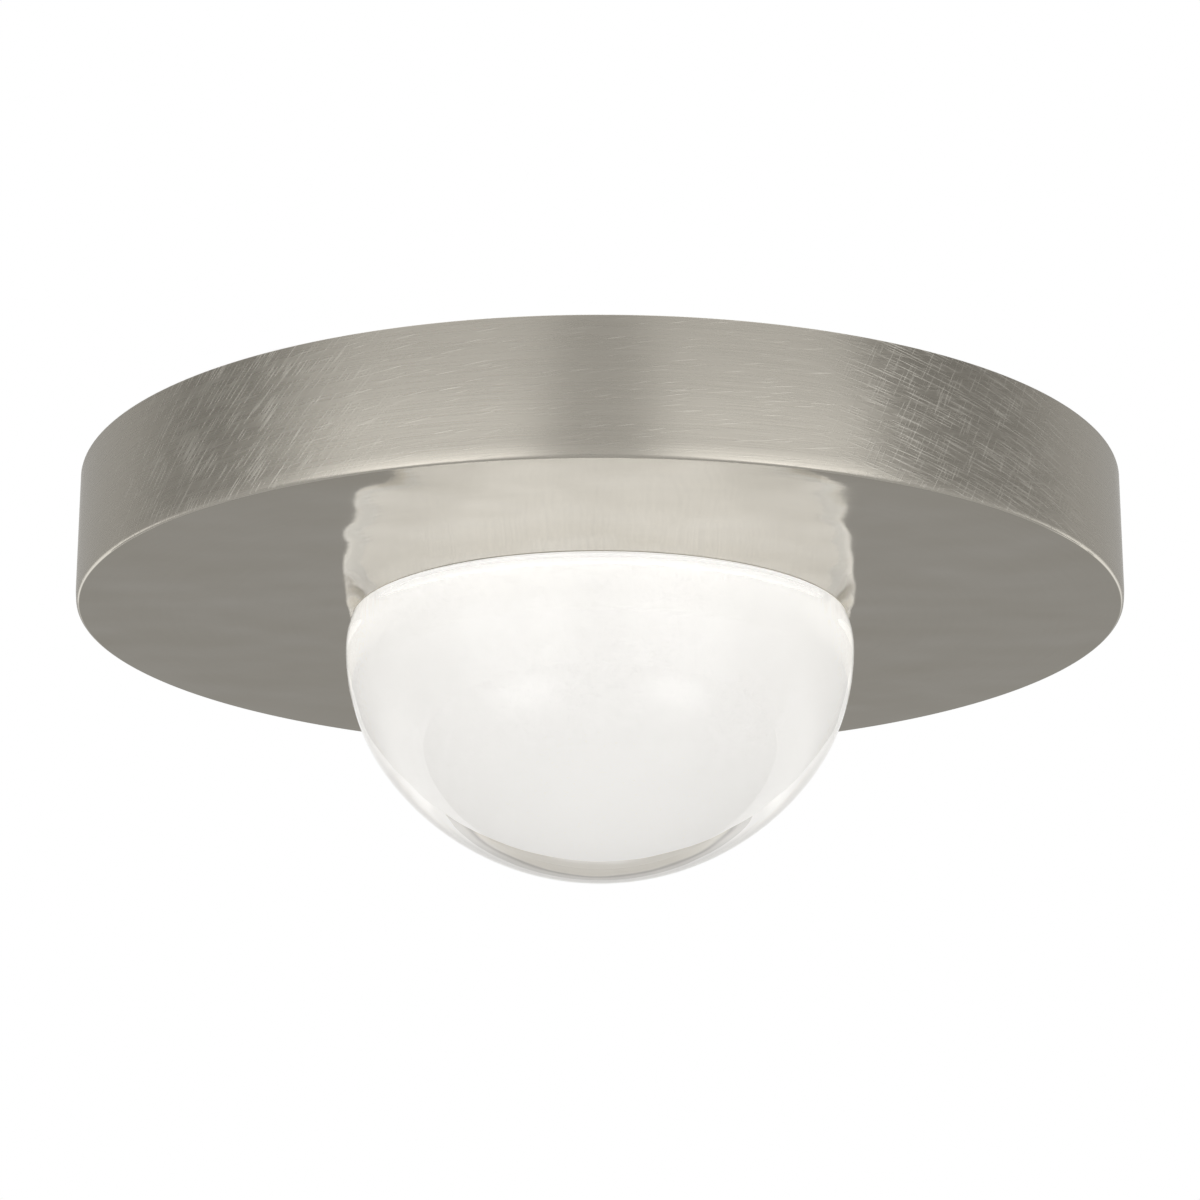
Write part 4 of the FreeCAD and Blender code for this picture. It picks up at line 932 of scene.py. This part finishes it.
fixings = bmesh.new()
for x in (-LID_SCREW_X, LID_SCREW_X):
    for y in LID_SCREW_Y:
        cross_screw(fixings, (x, y, LID_TOP), LID_SCREW_HEAD, LID_SCREW_SHANK, up=True)
piece("cross_lid_screws", fixings, "pan", "zinc_steel", [bright_zinc], "driver_lid_screws", crease=25)

coat(spark_eroded_plastic, "driver_case")
coat(green_solder_mask, "driver_board")
coat(taped_ferrite, "driver_transformer")
coat(sleeved_can, "driver_capacitors")

# ---- Terminal block ----
# A three-pole block moulded in white polyamide, held by its two ears. Brass clamping screws sit deep in its
# wells, where the house wiring and the driver's leads meet.


@finish
def white_polyamide(tree):
    spark = spots(tree, 0.0004, 2)
    cloud = spots(tree, 0.01, 2)
    return {
        "Base Color": between((0.78, 0.775, 0.73), (0.86, 0.855, 0.81), 0.4 * spark + 0.6 * cloud),
        "Roughness": 0.34 + 0.18 * spark,
        "Normal": relief(tree, spark, 0.00003),
    }


coat(white_polyamide, "terminal_block")
coat(knurled_brass, "terminal_screws")

# ---- Ground lug ----
# A ring terminal stamped from tinned copper, its barrel crimped on the green lead, under a nut on the pan's
# ground stud.


@finish
def tinned_copper(tree):
    cloud = spots(tree, 0.002, 3)
    return {
        "Base Color": between((0.62, 0.61, 0.6), (0.78, 0.78, 0.78), cloud),
        "Metallic": 1,
        "Roughness": 0.3 + 0.3 * cloud,
        "Normal": relief(tree, cloud, 0.00005),
    }


coat(tinned_copper, "ground_lug")

# ---- Leads ----
# Stranded copper in coloured silicone, 1.6 mm thick. White and black run from the terminal block to the driver,
# red and black from the driver through the clip and the grommet to the LED board, and green to the ground lug.

LEAD_RADIUS = 0.0008
HALF_GAP = 1.1


def insulation(name, dark, pale):
    """Lead insulation of one colour, slightly cloudy."""

    def recipe(tree):
        cloud = spots(tree, 0.003, 3)
        return {
            "Base Color": between(dark, pale, cloud),
            "Roughness": 0.36 + 0.2 * cloud,
            "Normal": relief(tree, cloud, 0.00005),
        }

    recipe.__name__ = name
    return finish(recipe)


def beside(route, gap):
    """The points of a route moved sideways by a gap, to the left of its heading."""
    moved = []
    for index, point in enumerate(route):
        heading = Vector(route[min(index + 1, len(route) - 1)]) - Vector(route[max(index - 1, 0)])
        heading.z = 0
        if heading.length > 1:
            left = Vector((-heading.y, heading.x, 0)).normalized()
        moved.append(Vector(point) + left * gap)
    return moved


def lead(name, coating, slot, points, *nodes):
    """A round lead on one smooth line past its control points, given in millimetres."""
    wire = bpy.data.curves.new(name, "CURVE")
    wire.dimensions = "3D"
    wire.bevel_depth = LEAD_RADIUS
    wire.bevel_resolution = 4
    wire.resolution_u = 12
    wire.use_fill_caps = True
    line = wire.splines.new("NURBS")
    line.points.add(len(points) - 1)
    for spot, point in zip(line.points, points):
        spot.co = (*(Vector(point) / 1000), 1)
    line.order_u = 3
    line.use_endpoint_u = True
    wire.materials.append(coating)
    made = bpy.data.objects.new(name, wire)
    bpy.context.collection.objects.link(made)
    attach(made, "pan")
    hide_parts(*nodes)


red = insulation("red_insulation", (0.42, 0.012, 0.012), (0.58, 0.03, 0.025))
black = insulation("black_insulation", (0.012, 0.012, 0.012), (0.035, 0.035, 0.036))
white = insulation("white_insulation", (0.72, 0.71, 0.68), (0.82, 0.81, 0.79))
green = insulation("green_insulation", (0.01, 0.17, 0.04), (0.02, 0.28, 0.07))

LED_ROUTE = (
    (50, 98, -23.1),
    (70, 97, -23.1),
    (84, 80, -22.6),
    (85, 59, -21.6),
    (75, 40, -19.4),
    (63.03, 25.35, -19.9),
    (47.75, 9.53, -19.9),
    (40, 2.2, -14.9),
    (32, 0, -18.7),
    (32, 0, -26.6),
)
SUPPLY_ROUTE = (
    (-122.5, 52, -29.1),
    (-119.5, 69, -27.1),
    (-102, 80, -26.1),
    (-90, 94, -24.1),
    (-71, 98, -23.1),
    (-50, 98, -23.1),
)
NEAR_POLE = ((-98, 34, -30.1), (-112.5, 35, -30.1))
FAR_POLE = ((-98, 22, -30.1), (-113.5, 22, -30.1), (-122.5, 34, -29.8))
LUG_LEVEL = -33.7
GROUND_ROUTE = (
    (-98, 10, -30.1),
    (-112.5, 9.5, -30.1),
    (-120.5, -1, -31.1),
    (-118.5, -15.7, -32.1),
    (-112, -25.7, LUG_LEVEL),
    (-112, -35.7, LUG_LEVEL),
)
near_wire = [Vector(point) for point in NEAR_POLE] + beside(SUPPLY_ROUTE, -HALF_GAP)
far_wire = [Vector(point) for point in FAR_POLE] + beside(SUPPLY_ROUTE, HALF_GAP)
lead("led_lead_red", red, "red_black_leads", beside(LED_ROUTE, HALF_GAP), "led_leads")
lead("led_lead_black", black, "red_black_leads", beside(LED_ROUTE, -HALF_GAP), "led_leads")
lead("supply_lead_white", white, "white_black_leads", near_wire, "supply_leads")
lead("supply_lead_black", black, "white_black_leads", far_wire, "supply_leads")
lead("ground_lead_green", green, "green_lead", GROUND_ROUTE, "ground_lead")

# ---- Dome collar, bond and gasket ----
# A turned aluminium collar with three lugs is glued into the glass's mouth with clear silicone, because glass
# can't carry lugs. A flat ring of clear silicone on the ground top face keeps the glass off the nickel.


@finish
def clear_silicone(tree):
    haze = spots(tree, 0.003, 3)
    return {
        "Base Color": between((0.7, 0.7, 0.68), (0.82, 0.82, 0.8), haze),
        "Roughness": 0.35 + 0.2 * haze,
        "Normal": relief(tree, haze, 0.00004),
    }


coat(turned_aluminium, "dome_collar")
coat(clear_silicone, "dome_bond", "dome_gasket")

# ---- Glass dome ----
# Pressed from clear crystal glass, thick at the bottom. The outside is fire polished; the cavity over the LED
# board is sandblasted, so that the lit cavity shows as a white body inside the clear glass.


@finish
def crystal_glass(tree):
    swell = spots(tree, 0.02, 1)
    return {
        "Base Color": (1, 1, 1),
        "Roughness": 0,
        "IOR": 1.5,
        "Transmission Weight": 1,
        "Normal": relief(tree, swell, 0.00008),
    }


# Painted onto the ground top face, from its seal outwards, is what the glass shows through it: pale over the
# silicone, grey outside it where it faces the nickel, a dark painted shadow line in the gap, and pale again at
# the rim. These radii and heights are in metres, as a finish reads them.
LAND_START = 0.06
LAND_SPAN = 0.015
SEAL_END = 0.0616
SEAL_LIP = (0.06335, 0.06345)
LAND_PAINTED_RINGS = (
    (0.0605, (0.9, 0.89, 0.87)),
    (0.06345, (0.88, 0.87, 0.85)),
    (0.0636, (0.6, 0.59, 0.57)),
    (0.0655, (0.56, 0.54, 0.51)),
    (0.0662, (0.3, 0.28, 0.26)),
    (0.0668, (0.62, 0.59, 0.53)),
    (0.0700, (0.68, 0.655, 0.6)),
    (0.0712, (0.92, 0.91, 0.89)),
)


@finish
def land_painted_light(tree):
    place = Wire.node(tree, "TexCoord", output="Object")
    flat = Wire.node(tree, "VectorMath", {"operation": "MULTIPLY"}, {0: place, 1: (1, 1, 0)})
    reach = Wire.node(tree, "VectorMath", {"operation": "LENGTH"}, {0: flat}, 1)
    share = Wire.node(tree, "MapRange", {}, {0: reach, 1: LAND_START, 2: LAND_START + LAND_SPAN})
    stops = [((radius - LAND_START) / LAND_SPAN, colour) for radius, colour in LAND_PAINTED_RINGS]
    # Painted reflection and shade: the rings paint what the glass shows through its top face
    rings = Wire.node(tree, "ValToRGB", {"stops": stops}, {"Fac": share})
    # Painted glow: the land glows, more over the seal, standing in for light that the pan shades off it
    painted_glow_at_seal = window(reach, -0.001, SEAL_END, 0.0001, 0.0004) + window(reach, *SEAL_LIP, 0.00002, 0.00002)
    painted_glow = Wire.node(tree, "VectorMath", {"operation": "SCALE"}, {0: rings, "Scale": 1 + 0.45 * painted_glow_at_seal})
    return {
        "Base Color": rings,
        "Roughness": 0.8,
        "Specular IOR Level": 0.0,
        "Coat Weight": 1,
        "Coat IOR": 2.2,
        "Coat Roughness": 0.05,
        "Emission Color": painted_glow,
        "Emission Strength": 0.4,
    }


# Painted light: the frost glows though it is no lamp, and looks lit from above. Its painted glow fades from one
# height down to the other, and painted shade makes it dimmer in the mouth
FROST_GLOW = (1.16, 1.125, 1.065)
FROST_GLOW_LOW = (0.8, 0.772, 0.72)
FROST_BRIGHT = -0.042
FROST_DIM = -0.086
FROST_MOUTH = -0.047


@finish
def sandblasted_frost(tree):
    _, _, height = round_axis(tree)
    grain = spots(tree, 0.0006, 2)
    cloud = spots(tree, 0.02, 2)
    lit = Wire.node(
        tree, "MapRange", {"interpolation_type": "SMOOTHSTEP"}, {0: height, 1: FROST_DIM, 2: FROST_BRIGHT}
    )
    lit = lit - 0.45 * window(height * 1000, FROST_MOUTH * 1000, 0, 4, 1)
    lit = lit + (cloud - 0.5) * 0.3 + (grain - 0.5) * 1.1
    return {
        "Base Color": between((0.62, 0.62, 0.62), (0.88, 0.88, 0.875), grain),
        "Roughness": 0.9,
        "Specular IOR Level": 0.0,
        # Painted glow, brighter at the top, with painted shade in the mouth
        "Emission Color": between(FROST_GLOW_LOW, FROST_GLOW, lit),
        "Emission Strength": 0.38,
    }


DOME_TOP = -39.0
BELLY = -46.5
DOME_RADIUS = 74.3
SHOULDER_CURVE = 22.5
SIDE_OFFSET = 13.1
BOTTOM_GAIN = 16.6
MOUTH = 49.0
MOUTH_END = -48.0
CAVITY = 52.1
# Outside the seal the top face stands up as a rim, which closes the gap under the nickel to a thin line; the
# dark line seen there is painted shade on the land
RIM_TOP = -38.22
RIM_INSIDE = 63.4
SEAL_PLAY = 0.03

glass = bmesh.new()
seat = DOME_TOP - SEAL_PLAY
shoulder_x = DOME_RADIUS - SHOULDER_CURVE
top_x = shoulder_x + (SHOULDER_CURVE**2 - (RIM_TOP - BELLY) ** 2) ** 0.5
rise = (BOTTOM_GAIN**2 - SIDE_OFFSET**2) ** 0.5
shoulder_angle = degrees(atan2(RIM_TOP - BELLY, top_x - shoulder_x))
meeting_angle = degrees(atan2(rise, SIDE_OFFSET))
cavity_z = MOUTH_END + (CAVITY**2 - MOUTH**2) ** 0.5
cavity_angle = degrees(atan2(MOUTH, cavity_z - MOUTH_END))
drawn(
    glass,
    (MOUTH, seat),
    (RIM_INSIDE, seat),
    (RIM_INSIDE, RIM_TOP),
    (top_x, RIM_TOP),
    (shoulder_x, BELLY, shoulder_angle, 8),
    (SIDE_OFFSET, BELLY, meeting_angle, 28),
    (0, BELLY + rise, 90 - meeting_angle, 28),
)
drawn(glass, (0, cavity_z - CAVITY), (0, cavity_z, -cavity_angle, 40), (MOUTH, seat))
turned(glass, 192)
for face in glass.faces:
    middle = face.calc_center_median()
    from_heart = (middle - Vector((0, 0, cavity_z))).length
    in_mouth = middle.z > MOUTH_END and middle.xy.length < MOUTH + 0.01
    blasted = from_heart < CAVITY + 0.1 or in_mouth
    land = middle.z > seat - 0.01 and middle.xy.length < top_x - 0.01
    face.material_index = 2 if land else 1 if blasted else 0
finishes = [crystal_glass, sandblasted_frost, land_painted_light]
piece("crystal_dome", glass, "dome", "crystal_glass", finishes, "glass_dome")
